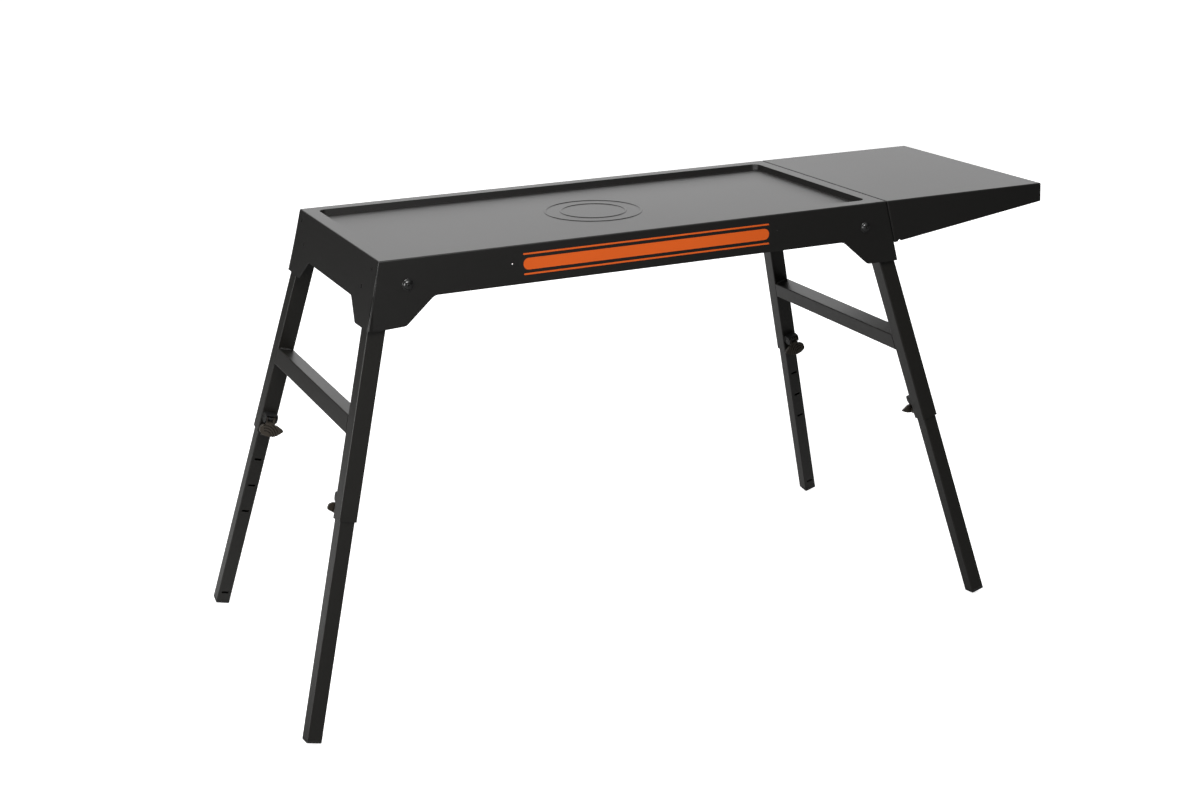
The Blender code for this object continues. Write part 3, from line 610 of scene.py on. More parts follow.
@dataclass(frozen=True)
class PowderCoat(Finish):
    """Satin powder coat on steel."""

    fleck: ClassVar[Colour] = (0.060, 0.058, 0.054)
    settled: ClassVar[Colour] = (0.34, 0.32, 0.29)
    worn: ClassVar[Colour] = (0.10, 0.098, 0.094)
    # Colour of the painted shade in grooves and tight corners.
    painted_shade_colour: ClassVar[Colour] = (0.004, 0.004, 0.0035)
    drift: ClassVar[float] = 0.005

    name: str
    colour: Colour
    roughness: float
    specular: float = 0.5
    peel_depth: float = 0.00003
    dust: float = 0.012
    rub: float = 0.3
    lines: float = 0.0
    # Share of painted shade that an ambient occlusion mask lays in grooves and tight corners.
    cavity_shade: float = 0.0

    def draw(self, sketch: Sketch, shader: bpy.types.Node, effects: Effects) -> None:
        """Mixes tone, flecks, dust, rubbed edges and any painted shade in cavities over the coat's colour."""
        place = self.place(sketch)
        peel = self.use(sketch, effects.peel, Vector=place)
        rub = self.use(sketch, effects.rub, Vector=place).outputs["Mask"]
        dust = self.use(sketch, effects.dust, Vector=place).outputs["Mask"]
        tone = peel.outputs["Tone"]
        colour = sketch.tint(tone, shade(self.colour, 0.95), shade(self.colour, 1.05))
        fleck = peel.outputs["Fleck"]
        layers = ((fleck, 0.25, self.fleck), (dust, self.dust, self.settled), (rub, self.rub, self.worn))
        for mask, share, layer in layers:
            colour = sketch.tint(sketch.sum("MULTIPLY", mask, share), colour, shade(layer))
        sheen = self.specular
        # Painted shade: the ambient occlusion mask darkens grooves and tight corners and takes their sheen
        # away.
        if self.cavity_shade:
            cavity_shade = sketch.sum("MULTIPLY", self.use(sketch, effects.cavity).outputs["Mask"], self.cavity_shade)
            colour = sketch.tint(cavity_shade, colour, shade(self.painted_shade_colour))
            sheen = sketch.span(cavity_shade, 0.0, 1.0, self.specular, 0.0)
        sketch.feed(shader, Base_Color=colour, Specular_IOR_Level=sheen)
        rough = sketch.span(tone, 0.0, 1.0, self.roughness - self.drift, self.roughness + self.drift)
        rough = sketch.sum("ADD", rough, sketch.sum("MULTIPLY", dust, self.dust * 0.3))
        polish = sketch.sum("MULTIPLY", rub, self.rub * 0.2)
        sketch.feed(shader, Roughness=sketch.sum("SUBTRACT", rough, polish))
        height = peel.outputs["Height"]
        if self.lines:
            drawn = self.use(sketch, effects.drawn, Vector=place).outputs["Height"]
            height = sketch.sum("ADD", height, sketch.sum("MULTIPLY", drawn, self.lines))
        self.relief(sketch, shader, height, self.peel_depth)


@dataclass(frozen=True)
class Plating(Finish):
    """Zinc plate or bright wire: metal with drawn lines, dulled in soft patches."""

    name: str
    colour: Colour
    roughness: float
    line_scale: float = 900.0

    def draw(self, sketch: Sketch, shader: bpy.types.Node, effects: Effects) -> None:
        """Breaks the metal's colour and gloss up with its drawn lines."""
        place = self.place(sketch)
        lines = self.use(sketch, effects.drawn, Vector=place, Line_Scale=self.line_scale).outputs["Height"]
        tone = self.use(sketch, effects.peel, Vector=place, Peel_Scale=1400.0).outputs["Tone"]
        colour = sketch.tint(tone, shade(self.colour, 0.7), shade(self.colour))
        rough = sketch.span(lines, 0.3, 0.7, self.roughness - 0.08, self.roughness + 0.10)
        sketch.feed(shader, Base_Color=colour, Metallic=1.0, Roughness=rough)
        self.relief(sketch, shader, lines, 0.00001)


@dataclass(frozen=True)
class MouldedPlastic(Finish):
    """Black moulded plastic with a spark-eroded grain and scuffs."""

    scuffed: ClassVar[Colour] = (0.07, 0.067, 0.062)

    name: str
    colour: Colour
    roughness: float

    def draw(self, sketch: Sketch, shader: bpy.types.Node, effects: Effects) -> None:
        """Adds the mould's grain and paler, scuffed edges."""
        place = self.place(sketch)
        grain = self.use(
            sketch, effects.peel, Vector=place, Peel_Scale=1500.0, Grain_Scale=4200.0, Grain_Share=0.6)
        rub = self.use(sketch, effects.rub, Vector=place, Radius=0.0015, Breaks_Scale=120.0).outputs["Mask"]
        colour = sketch.tint(sketch.sum("MULTIPLY", rub, 0.5), shade(self.colour), shade(self.scuffed))
        rough = sketch.span(grain.outputs["Tone"], 0.0, 1.0, self.roughness - 0.05, self.roughness + 0.06)
        sketch.feed(shader, Base_Color=colour, Roughness=rough)
        self.relief(sketch, shader, grain.outputs["Height"], 0.00004)


@dataclass(frozen=True)
class PrintedInk(Finish):
    """Screen-printed ink: an even colour with the mesh's faint mottle."""

    name: str
    colour: Colour
    roughness: float

    def draw(self, sketch: Sketch, shader: bpy.types.Node, effects: Effects) -> None:
        """Mottles the ink and lets the coat's ripple show through it."""
        place = self.place(sketch)
        peel = self.use(sketch, effects.peel, Vector=place, Grain_Scale=2400.0)
        tone = peel.outputs["Tone"]
        colour = sketch.tint(tone, shade(self.colour, 0.86), shade(self.colour))
        rough = sketch.span(tone, 0.0, 1.0, self.roughness, self.roughness + 0.06)
        sketch.feed(shader, Base_Color=colour, Roughness=rough)
        self.relief(sketch, shader, peel.outputs["Height"], 0.00003)


@dataclass(frozen=True)
class FloorPaint(Finish):
    """The studio's plain pale floor.

    Reflections see it dimmer than the camera does, as behind a flag. They see it brighter behind the stand
    than in front of it.
    """

    name: str
    colour: Colour
    roughness: float
    reflected: Point2 = (0.17, 0.80)
    lit_from: Point2 = (-0.4, 0.6)
    lit_to: Point2 = (2.0, 4.0)
    lift: float = 0.80

    def draw(self, sketch: Sketch, shader: bpy.types.Node, effects: Effects) -> None:
        """Gives the floor one slow drift of tone, and a lift towards white where the camera sees it."""
        place = self.place(sketch)
        slow = sketch.noise(place, 0.4, 1.0)
        bright = sketch.tint(slow, shade(self.colour, 0.985), shade(self.colour))
        seen = sketch.add("LightPath").outputs["Is Camera Ray"]
        away = sketch.feed(sketch.add("SeparateXYZ"), Vector=place).outputs["Y"]
        rise = sketch.span(away, *self.lit_from, 0.0, 1.0)
        fall = sketch.span(away, *self.lit_to, 1.0, 0.0)
        mirrored = sketch.tint(
            sketch.sum("MULTIPLY", rise, fall), *(shade(self.colour, share) for share in self.reflected))
        lift = sketch.sum("MULTIPLY", seen, self.lift)
        sketch.feed(shader, Base_Color=sketch.tint(seen, mirrored, bright), Roughness=self.roughness,
                    Emission_Color=(1.0, 1.0, 1.0, 1.0), Emission_Strength=lift)


SHEET_COAT = PowderCoat("sheet_powder_coat", (0.0085, 0.0081, 0.0074), 0.38)
TUBE_COAT = PowderCoat("tube_powder_coat", (0.0095, 0.0088, 0.0074), 0.36, dust=0.01, lines=0.5)
# The latch and lever coats carry painted shade in their grooves and tight corners.
LATCH_COAT = PowderCoat(
    "latch_coat", (0.007, 0.0068, 0.0066), 0.5, 0.3, rub=0.15, peel_depth=0.00002, cavity_shade=0.6)
LEVER_COAT = PowderCoat("lever_coat", (0.044, 0.036, 0.027), 0.36, rub=0.8, peel_depth=0.00002, cavity_shade=1.0)
WELD_COAT = PowderCoat("weld_coat", (0.016, 0.0155, 0.0145), 0.38, rub=0.2, peel_depth=0.00005)
SCREW_BLACK = PowderCoat(
    "black_screw", (0.008, 0.008, 0.008), 0.18, 1.0, rub=0.5, peel_depth=0.00001, dust=0.005)
ZINC = Plating("zinc_plate", (0.52, 0.52, 0.50), 0.34)
DARK_ZINC = Plating("dark_zinc", (0.10, 0.10, 0.095), 0.38)
SPRING_WIRE = Plating("spring_wire", (0.20, 0.20, 0.20), 0.30, 2000.0)
FOOT_PLASTIC = MouldedPlastic("foot_plastic", (0.011, 0.011, 0.011), 0.48)
ORANGE_INK = PrintedInk("orange_ink", (0.775, 0.117, 0.0088), 0.42)
PALE_FLOOR = FloorPaint("pale_floor", (0.88, 0.88, 0.88), 0.55)


# The bench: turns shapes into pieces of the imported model


class Bench:
    """Dresses shapes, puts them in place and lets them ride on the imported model's bodies."""

    def __init__(self, frame: dict) -> None:
        """Reads where the tray's top is and which body holds each node."""
        low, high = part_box("tray")
        self.top = Matrix.Translation(((low.x + high.x) / 2, (low.y + high.y) / 2, high.z))
        groups = frame["record"]["behaviour"]["bodies"]
        self.body_of = {node: body for body, nodes in groups.items() for node in nodes}
        self.slot_of = {entry["node"]: entry["material_slot"] for entry in frame["record"]["subparts"]}
        self.effects = Effects()
        self.count = 0

    def seat(self, obj: Thing, finish: Finish, node: str, place: Matrix, stands_for: bool = True,
             angle: float = 35.0) -> Thing:
        """Finishes a piece and puts it on the body of a node.

        Args:
            obj: The piece, modelled in the axes that place gives.
            finish: Its finish.
            node: The node that it stands for or sits on.
            place: Its axes, seen from the stand's axes.
            stands_for: True hides the node, and False only rides with it.
            angle: Edges sharper than this, in degrees, stay sharp.

        Returns:
            The piece.
        """
        smooth(obj, angle)
        obj.data.materials.clear()
        obj.data.materials.append(finish.material(self.effects))
        obj.matrix_world = self.top @ place
        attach(obj, self.body_of[node])
        if stands_for:
            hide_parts(node)
        self.count += 1
        LOG.info("%s rides on %s", obj.name, self.body_of[node])
        return obj

    def weld(self, name: str, node: str, place: Matrix, runs: Sequence[tuple[Vector, Vector]],
             radius: float) -> None:
        """Lays weld beads that ride with a node.

        Args:
            name: The name of the piece that the beads make up.
            node: The node that they sit on.
            place: Their axes, seen from the stand's axes.
            runs: Start and end of each bead.
            radius: Radius of the beads.
        """
        beads = gather(*(weld_run(start, end, radius) for start, end in runs))
        self.seat(shaped(name, beads), WELD_COAT, node, place, stands_for=False)


# The tray


@dataclass
class Sheetwork:
    """Sizes that all the folded sheet shares."""

    thickness: float = 0.0015
    fold_radius: float = 0.0025
    fold_steps: int = 6

    def fold(self, obj: Thing) -> None:
        """Rounds the folds of an outer sheet and gives it its thickness."""
        soften(obj, self.fold_radius, self.fold_steps, 30.0)
        thicken(obj, self.thickness)


@dataclass
class Tray:
    """The pressed tray: rim, sunken floor, two skirts, two leaning ends and a gusset at each corner."""

    sheet: Sheetwork = field(default_factory=Sheetwork)
    length: float = 0.980
    width: float = 0.455
    end_lean: float = math.radians(13.5)
    skirt_lean: float = math.radians(3.0)
    gusset_depth: float = 0.113
    skirt_depth: float = 0.067
    end_depth: float = 0.0775
    recess_half: Point2 = (0.4635, 0.2005)
    recess_depth: float = 0.0105
    recess_radius: float = 0.014
    recess_draft: float = 0.003
    bead_radii: tuple[float, ...] = (0.0890, 0.0600)
    bead_half_width: float = 0.0026
    bead_height: float = 0.0011
    pivot: Point2 = (0.4435, 0.0436)
    pivot_radius: float = 0.0043
    peep: Point2 = (0.257, 0.031)
    peep_radius: float = 0.0012
    hook_slots: tuple[tuple[float, float, float], ...] = ((0.203, 0.0171, 0.0056), (0.1676, 0.0536, 0.0077))
    slot_width: float = 0.004
    slot_cut: float = 0.012
    hole_cut: Point2 = (0.215, 0.245)
    skirt_corner: Point2 = (0.3975, 0.018)
    gusset_corner: Point2 = (0.4500, 0.013)
    end_corner: Point2 = (0.1255, 0.010)
    end_gusset_corner: Point2 = (0.1660, 0.010)
    end_gusset_drop: float = 0.0015
    stripe_reach: Point2 = (-0.237, 0.240)
    stripes: tuple[Point2, ...] = ((0.0165, 0.0030), (0.0337, 0.0200), (0.0509, 0.0030))

    def end_point(self, side: int, depth: float, offset: float = 0.0) -> Point2:
        """Gives a point on an end's outer face, moved outward by an offset, as (x, z)."""
        x = self.length / 2 + depth * math.tan(self.end_lean) + offset * math.cos(self.end_lean)
        return side * x, -depth + offset * math.sin(self.end_lean)

    def skirt_face(self, depth: float) -> float:
        """Gives the distance from the middle to a skirt's outer face."""
        return self.width / 2 + depth * math.tan(self.skirt_lean)

    def _lower_edge(self, half: Sequence[Sequence[float]]) -> list[Vector]:
        """Gives a panel's lower edge, mirrored about its middle, without its outer corners."""
        mirrored = [(-along, depth, radius) for along, depth, radius in reversed(half)]
        far = self.length
        outline = [(-far, self.gusset_depth)] + mirrored + list(half) + [(far, self.gusset_depth)]
        return rounded(outline, 6)[1:-1]

    def _floor(self, bm: Shape, bottom: list[bmesh.types.BMVert]) -> None:
        """Closes the sunken floor, with its round stiffening beads."""
        steps = 128
        profile = []
        for radius in self.bead_radii:
            profile.append((radius + self.bead_half_width * 2.2, 0.0))
            for step in range(9):
                turn = math.pi * step / 8
                along = radius + self.bead_half_width * math.cos(turn)
                profile.append((along, self.bead_height * math.sin(turn) ** 1.3 if 0 < step < 8 else 0.0))
            profile.append((radius - self.bead_half_width * 2.2, 0.0))
        angles = [math.tau * step / steps for step in range(steps)]
        loops = []
        for radius, height in profile:
            z = height - self.recess_depth
            loops.append([bm.verts.new((radius * math.cos(a), radius * math.sin(a), z)) for a in angles])
        for first, second in zip(loops, loops[1:]):
            bridge(bm, first, second)
        bm.faces.new(loops[-1])
        rims = []
        for loop in (bottom, loops[0]):
            for index, vert in enumerate(loop):
                rims.append(bm.edges.get((vert, loop[(index + 1) % len(loop)])))
        bmesh.ops.triangle_fill(bm, use_beauty=True, use_dissolve=False, edges=rims)

    def outer_sheet(self) -> Shape:
        """Models the tray's outer surface as one open sheet."""
        bm = bmesh.new()
        half_x, half_y = self.length / 2, self.width / 2
        signs = ((1, -1), (1, 1), (-1, 1), (-1, -1))
        corners = [bm.verts.new((sx * half_x, sy * half_y, 0)) for sx, sy in signs]
        steps = 10
        top_line = rounded_box(*self.recess_half, self.recess_radius, steps)
        draft = self.recess_draft
        inner_half = (self.recess_half[0] - draft, self.recess_half[1] - draft)
        low_line = rounded_box(*inner_half, self.recess_radius - draft, steps)
        top = [bm.verts.new((*point, 0)) for point in top_line]
        bottom = [bm.verts.new((*point, -self.recess_depth)) for point in low_line]
        arc = steps + 1
        for index in range(4):
            following = (index + 1) % 4
            own = top[index * arc:(index + 1) * arc]
            bm.faces.new([corners[index]] + own[::-1])
            bm.faces.new((corners[index], corners[following], top[following * arc], own[-1]))
        bridge(bm, top, bottom)
        self._floor(bm, bottom)
        self._panels(bm, signs, corners)
        # These folds are rounded here, as a modifier would narrow them to suit the recess's small faces.
        outside = self.recess_half[0] + 0.005
        folds = [edge for edge in bm.edges
                 if len(edge.link_faces) == 2 and all(abs(vert.co.x) > outside for vert in edge.verts)]
        bmesh.ops.bevel(bm, geom=folds, offset=self.sheet.fold_radius, offset_type="OFFSET",
                        segments=self.sheet.fold_steps, profile=0.5, affect="EDGES", clamp_overlap=True)
        return bm

    def _panels(self, bm: Shape, signs: Sequence[tuple[int, int]],
                corners: list[bmesh.types.BMVert]) -> None:
        """Adds the skirts and the leaning ends below the rim."""
        lean_x, lean_y = math.tan(self.end_lean), math.tan(self.skirt_lean)
        low = self.gusset_depth
        half_x, half_y = self.length / 2, self.width / 2
        foot_x, foot_y = half_x + low * lean_x, half_y + low * lean_y
        feet = [bm.verts.new((sx * foot_x, sy * foot_y, -low)) for sx, sy in signs]
        (shallow_x, shallow_round), (deep_x, deep_round) = self.skirt_corner, self.gusset_corner
        skirt = self._lower_edge([(shallow_x, self.skirt_depth, shallow_round), (deep_x, low, deep_round)])
        for side, first, last in ((-1, 3, 0), (1, 2, 1)):
            edge = [bm.verts.new((x, side * (half_y + d * lean_y), -d)) for x, d in skirt]
            bm.faces.new([corners[first], feet[first]] + edge + [feet[last], corners[last]])
        (shallow_y, shallow_round), (deep_y, deep_round) = self.end_corner, self.end_gusset_corner
        end = self._lower_edge([(shallow_y, self.end_depth, shallow_round),
                                (deep_y, low + self.end_gusset_drop, deep_round)])
        for side, first, last in ((1, 0, 1), (-1, 3, 2)):
            edge = [bm.verts.new((side * (half_x + d * lean_x), y, -d)) for y, d in end]
            bm.faces.new([corners[first], feet[first]] + edge + [feet[last], corners[last]])

    def _holes(self) -> Shape:
        """Gathers the tools for the pivot holes, the sight holes and the hook slots."""
        tools = []
        near, far = self.hole_cut
        for (x, depth), radius in ((self.pivot, self.pivot_radius), (self.peep, self.peep_radius)):
            for sx in (-1, 1):
                for sy in (-1, 1):
                    tools.append(rod(radius, (sx * x, sy * near, -depth), (sx * x, sy * far, -depth)))
        for side in (-1, 1):
            for y, depth, height in self.hook_slots:
                x, z = self.end_point(side, depth)
                size = Vector((self.slot_cut, self.slot_width, height))
                turn = Matrix.Rotation(-side * self.end_lean, 3, "Y")
                for sy in (-1, 1):
                    slot = bmesh.new()
                    place = Matrix.LocRotScale(Vector((x, sy * y, z)), turn, size)
                    bmesh.ops.create_cube(slot, size=1.0, matrix=place)
                    tools.append(slot)
        return gather(*tools)

    def build(self, bench: Bench) -> None:
        """Makes the tray and its printed stripes."""
        bm = self.outer_sheet()
        bmesh.ops.recalc_face_normals(bm, faces=bm.faces)
        nearest = min(bm.faces, key=lambda face: face.calc_center_median().length)
        if nearest.normal.z < 0:
            bmesh.ops.reverse_faces(bm, faces=bm.faces)
        tray = shaped("tray_visual", bm, recalculate=False)
        self.sheet.fold(tray)
        work(tray, Cut.AWAY, self._holes())
        bench.seat(tray, SHEET_COAT, "tray", Matrix.Identity(4))
        self._print_stripes(bench)

    def _print_stripes(self, bench: Bench) -> None:
        """Prints three plain stripes on the front skirt, each a thin film with round ends."""
        start, end = self.stripe_reach
        film, sunk = 0.00007, 0.0002
        films = []
        for depth, height in self.stripes:
            half = height / 2
            nearly_half = half * 0.98
            corners = rectangle((start, depth - half), (end, depth + half))
            outline = rounded([(*corner, nearly_half) for corner in corners], 12)
            films.append(prism(
                outline, lambda x, d: (x, -self.skirt_face(d) - film, -d), (0, film + sunk, 0)))
        stripes = shaped("front_stripes", gather(*films))
        bench.seat(stripes, ORANGE_INK, "tray", Matrix.Identity(4), stands_for=False)


@dataclass
class Stiffener:
    """A hat channel spot-welded under the tray's floor."""

    node: str
    y: float
    tray: Tray
    length: float = 0.86
    flange_half: float = 0.027
    crown_half: float = 0.0135
    depth: float = 0.014
    wall: float = 0.0012
    gap: float = 0.0003
    spot_pitch: float = 0.086
    spot_radius: float = 0.0025
    spot_depth: float = 0.0003

    def build(self, bench: Bench) -> None:
        """Makes the channel, its bends rounded and its flanges dimpled by spot welds."""
        top = -self.tray.recess_depth - self.tray.sheet.thickness - self.gap
        wall, crown, flange = self.wall, self.crown_half, self.flange_half
        outer_half = [(flange, -wall), (crown + 0.0025, -wall, 0.0015), (crown, -self.depth, 0.0022)]
        inner_half = [(flange, 0), (crown + 0.0015, 0, 0.0020), (crown - 0.0010, -self.depth + wall, 0.0012)]
        outer = [(-y, *rest) for y, *rest in outer_half] + outer_half[::-1]
        inner = inner_half + [(-y, *rest) for y, *rest in reversed(inner_half)]
        start = -self.length / 2
        outline = rounded(outer + inner, 4)
        channel = shaped(self.node + "_visual", prism(
            outline, lambda y, z: (start, y, z), (self.length, 0, 0)))
        count = round(self.length / self.spot_pitch)
        dimples = []
        for index in range(count):
            x = start + self.spot_pitch * (index + 0.5)
            for side in (-1, 1):
                y = side * (self.flange_half + crown) / 2
                dimples.append(rod(
                    self.spot_radius, (x, y, -wall - 0.001), (x, y, -wall + self.spot_depth), 20))
        work(channel, Cut.AWAY, gather(*dimples))
        bench.seat(channel, SHEET_COAT, self.node, Matrix.Translation((0, self.y, top)))


@dataclass
class SideShelf:
    """The shelf: one folded sheet with tapered flanges and four tabs that hang in the tray's slots."""

    tray: Tray
    gap: float = 0.0010
    end_x: float = 0.8447
    width: float = 0.4565
    deep: float = 0.0791
    shallow: float = 0.0347
    lean: float = math.radians(2.0)
    relief_x: float = 0.5206
    relief_radius: float = 0.0030
    relief_cut: Point2 = (0.22, 0.24)
    tab_thickness: float = 0.002
    tab_reach: float = 0.0060
    tab_gap: float = 0.0003
    lift_angle: float = math.radians(45.0)

    def outer_sheet(self) -> Shape:
        """Models the top, the two long flanges, the end flange and the inner flange as one open sheet."""
        bm = bmesh.new()
        start = self.tray.end_point(1, 0, self.gap)[0]
        half, lean = self.width / 2, math.tan(self.lean)
        rows = []
        near_end = (start, self.deep, math.tan(self.tray.end_lean))
        far_end = (self.end_x, self.shallow, lean)
        for x, depth, slope in (near_end, far_end):
            for side in (-1, 1):
                top = bm.verts.new((x, side * half, 0))
                rows.append((top, bm.verts.new((x + depth * slope, side * (half + depth * lean), -depth))))
        near_front, near_back, far_front, far_back = rows
        bm.faces.new((near_front[0], far_front[0], far_back[0], near_back[0]))
        around = (far_front, near_front, near_back, far_back)
        for first, second in zip(around, around[1:] + around[:1]):
            bm.faces.new((first[0], second[0], second[1], first[1]))
        return bm

    def _tab(self, y: float, depth: float, height: float) -> Shape:
        """Models a tab that leaves its slot along the lift-off path."""
        lean, thickness = self.tray.end_lean, self.tray.sheet.thickness
        lift = Vector((math.cos(self.lift_angle), math.sin(self.lift_angle)))
        normal = Vector((math.cos(lean), math.sin(lean)))
        down = Vector((math.sin(lean), -math.cos(lean)))
        middle = Vector(self.tray.end_point(1, depth, -thickness / 2))
        across = Vector((-lift.y, lift.x))
        half = (height * abs(down.dot(across)) - thickness * abs(normal.dot(across))) / 2 - self.tab_gap
        corners = []
        for offset in (thickness / 2 + self.gap + thickness * 0.6, -thickness / 2 - self.tab_reach):
            for sign in (1, -1):
                start = middle + across * half * sign
                corners.append(start + lift * (offset - (start - middle).dot(normal)) / lift.dot(normal))
        outline = [corners[0], corners[1], corners[3], corners[2]]
        return prism(outline, lambda x, z: (x, y - self.tab_thickness / 2, z), (0, self.tab_thickness, 0))

    def build(self, bench: Bench) -> None:
        """Makes the shelf."""
        bm = self.outer_sheet()
        bmesh.ops.recalc_face_normals(bm, faces=bm.faces)
        bm.faces.ensure_lookup_table()
        if bm.faces[0].normal.z < 0:
            bmesh.ops.reverse_faces(bm, faces=bm.faces)
        shelf = shaped("side_shelf_visual", bm, recalculate=False)
        self.tray.sheet.fold(shelf)
        start = self.tray.end_point(1, self.deep, self.gap)[0]
        x, (near, far) = self.relief_x, self.relief_cut
        depth = self.deep - (self.deep - self.shallow) / (self.end_x - start) * (x - start)
        reliefs = []
        for sy in (-1, 1):
            reliefs.append(rod(self.relief_radius, (x, sy * near, -depth), (x, sy * far, -depth), 24))
        work(shelf, Cut.AWAY, gather(*reliefs))
        slots = self.tray.hook_slots
        tabs = [self._tab(sy * y, depth, height) for y, depth, height in slots for sy in (-1, 1)]
        work(shelf, Cut.ADD, gather(*tabs))
        bench.seat(shelf, SHEET_COAT, "side_shelf", Matrix.Identity(4))


# The leg frames


@dataclass
class Leg:
    """Where one leg hangs, and the tubes it is made of."""

    end: End
    row: Row
    lean: float = math.radians(15.0)
    splay: float = math.radians(8.5)
    top: Point2 = (0.4840, 0.2080)
    outer_side: float = 0.0315
    inner_side: float = 0.0265
    wall: float = 0.0012
    outer_corner: float = 0.0020
    inner_corner: float = 0.0018
    outer_start: float = 0.030
    outer_end: float = 0.437
    overlap: float = 0.050
    height: float = 0.7898
    cap_length: float = 0.005
    stem_length: float = 0.015
    gap: float = 0.0003
    height_steps: tuple[float, ...] = (0.0, 0.056, 0.112, 0.168, 0.350)
    slot_offset: float = 0.0035
    slot_size: Point2 = (0.014, 0.0045)
    slot_round: float = 0.001
    pivot: Point2 = (0.4435, 0.0436)

    @property
    def name(self) -> str:
        """The leg's name, which its pieces' names start with."""
        return f"{self.row.name}_{self.end.name}".lower()

    @property
    def side(self) -> int:
        """The sign of the frame's Y on this leg's side."""
        return self.row.value * self.end.value

    def axis_place(self) -> Point2:
        """Gives how far down the frame's plane the fold axis lies, and how far inboard of its outer face."""
        step = Vector((self.pivot[0] - self.top[0], -self.pivot[1]))
        down = Vector((math.sin(self.lean), -math.cos(self.lean)))
        outward = Vector((math.cos(self.lean), math.sin(self.lean)))
        return step.dot(down), -step.dot(outward)

    def frame_axes(self) -> Matrix:
        """Gives the leg frame's axes, seen from the stand's."""
        turn = 0.0 if self.end is End.RIGHT else math.pi
        place = Matrix.Translation((self.end.value * self.pivot[0], 0, -self.pivot[1]))
        return place @ Euler((0, -self.lean, turn)).to_matrix().to_4x4()

    def leg_axes(self) -> Matrix:
        """Gives the leg's axes, seen from the stand's."""
        down, inboard = self.axis_place()
        place = Matrix.Translation((inboard, self.side * self.top[1], down))
        return self.frame_axes() @ place @ Matrix.Rotation(self.side * self.splay, 4, "X")

    def foot(self) -> float:
        """Gives the distance down the leg at which its lowest corner meets the floor."""
        inset = (self.outer_side + self.inner_side) / 2
        rise = inset * (math.sin(self.lean) + math.sin(self.splay) * math.cos(self.lean))
        return (self.height - rise) / (math.cos(self.splay) * math.cos(self.lean))

    def square(self, side: float, radius: float, down: float, segments: int = 6) -> list[Vector]:
        """Gives a ring round the leg's middle line, at a distance down the leg."""
        middle = self.outer_side / 2
        ring = rounded_box(side / 2, side / 2, radius, segments)
        return [Vector((x - middle, self.side * (y - middle), -down)) for x, y in ring]

    def tube(self, side: float, radius: float, start: float, end: float) -> Shape:
        """Models a square tube with its cut edges just broken."""
        edge = 0.00025
        bore = side - 2 * self.wall
        inner_radius = max(radius - self.wall, 0.0006)
        cut = (side - 2 * edge, radius - edge)
        rows = ((*cut, start), (side, radius, start + edge), (side, radius, end - edge), (*cut, end),
                (bore, inner_radius, end), (bore, inner_radius, start))
        return skin([self.square(*row) for row in rows], closed=True)

    def build(self, bench: Bench) -> None:
        """Makes the outer tube, the slotted inner tube and the foot cap."""
        axes = self.leg_axes()
        outer = shaped(self.name + "_outer_tube_visual", self.tube(
            self.outer_side, self.outer_corner, self.outer_start, self.outer_end))
        bench.seat(outer, TUBE_COAT, self.name + "_outer_tube", axes)

        end = self.foot() - self.cap_length - self.gap
        inner = shaped(self.name + "_inner_tube_visual", self.tube(
            self.inner_side, self.inner_corner, self.outer_end - self.overlap, end))
        work(inner, Cut.AWAY, gather(*self._height_slots()))
        bench.seat(inner, TUBE_COAT, self.name + "_inner_tube", axes)
        self._build_cap(bench, axes)

    def _height_slots(self) -> list[Shape]:
        """Makes the tools for the slots that the latch's nose can enter, with round ends."""
        inset = (self.outer_side - self.inner_side) / 2
        face = self.side * (inset - self.outer_side)
        half_w, half_h = self.slot_size[0] / 2, self.slot_size[1] / 2
        corners = rectangle((-half_w, -half_h), (half_w, half_h))
        outline = rounded([(*corner, self.slot_round) for corner in corners], 4)
        cut = 0.006
        slots = []
        for step in self.height_steps:
            middle = self.outer_end + self.slot_offset + step
            slots.append(prism(
                outline, lambda x, z: (x - self.outer_side / 2, face - cut / 2, z - middle), (0, cut, 0)))
        return slots

    def _build_cap(self, bench: Bench, axes: Matrix) -> None:
        """Makes the foot cap: a square flange with a rounded sole, and a ribbed stem inside the tube."""
        end, side = self.foot(), self.inner_side
        place = end - self.cap_length
        stem = side - 2 * (self.wall + self.gap)
        soft, corner, break_off = 0.0012, self.inner_corner, 0.0003
        rows = [(side - 2 * soft, 0.0010, end), (side - 0.7 * soft, 0.0014, end - 0.3 * soft),
                (side, corner, end - soft), (side, corner, place + break_off),
                (side - 2 * break_off, corner - break_off, place)]
        root, stem_corner, rib_pitch = stem - 0.0010, 0.001, 0.0045
        for rib in range(3):
            low = place - 0.0010 - rib * rib_pitch
            rows += [(root, stem_corner, low + 0.0009), (root, stem_corner, low),
                     (stem, stem_corner, low - 0.0005), (stem, stem_corner, low - 0.0020),
                     (root, stem_corner, low - 0.0026)]
        rows.append((stem - 0.0020, stem_corner, place - self.stem_length))
        cap = shaped(self.name + "_foot_cap_visual", skin([self.square(*row) for row in rows]))
        bench.seat(cap, FOOT_PLASTIC, self.name + "_foot_cap", axes)


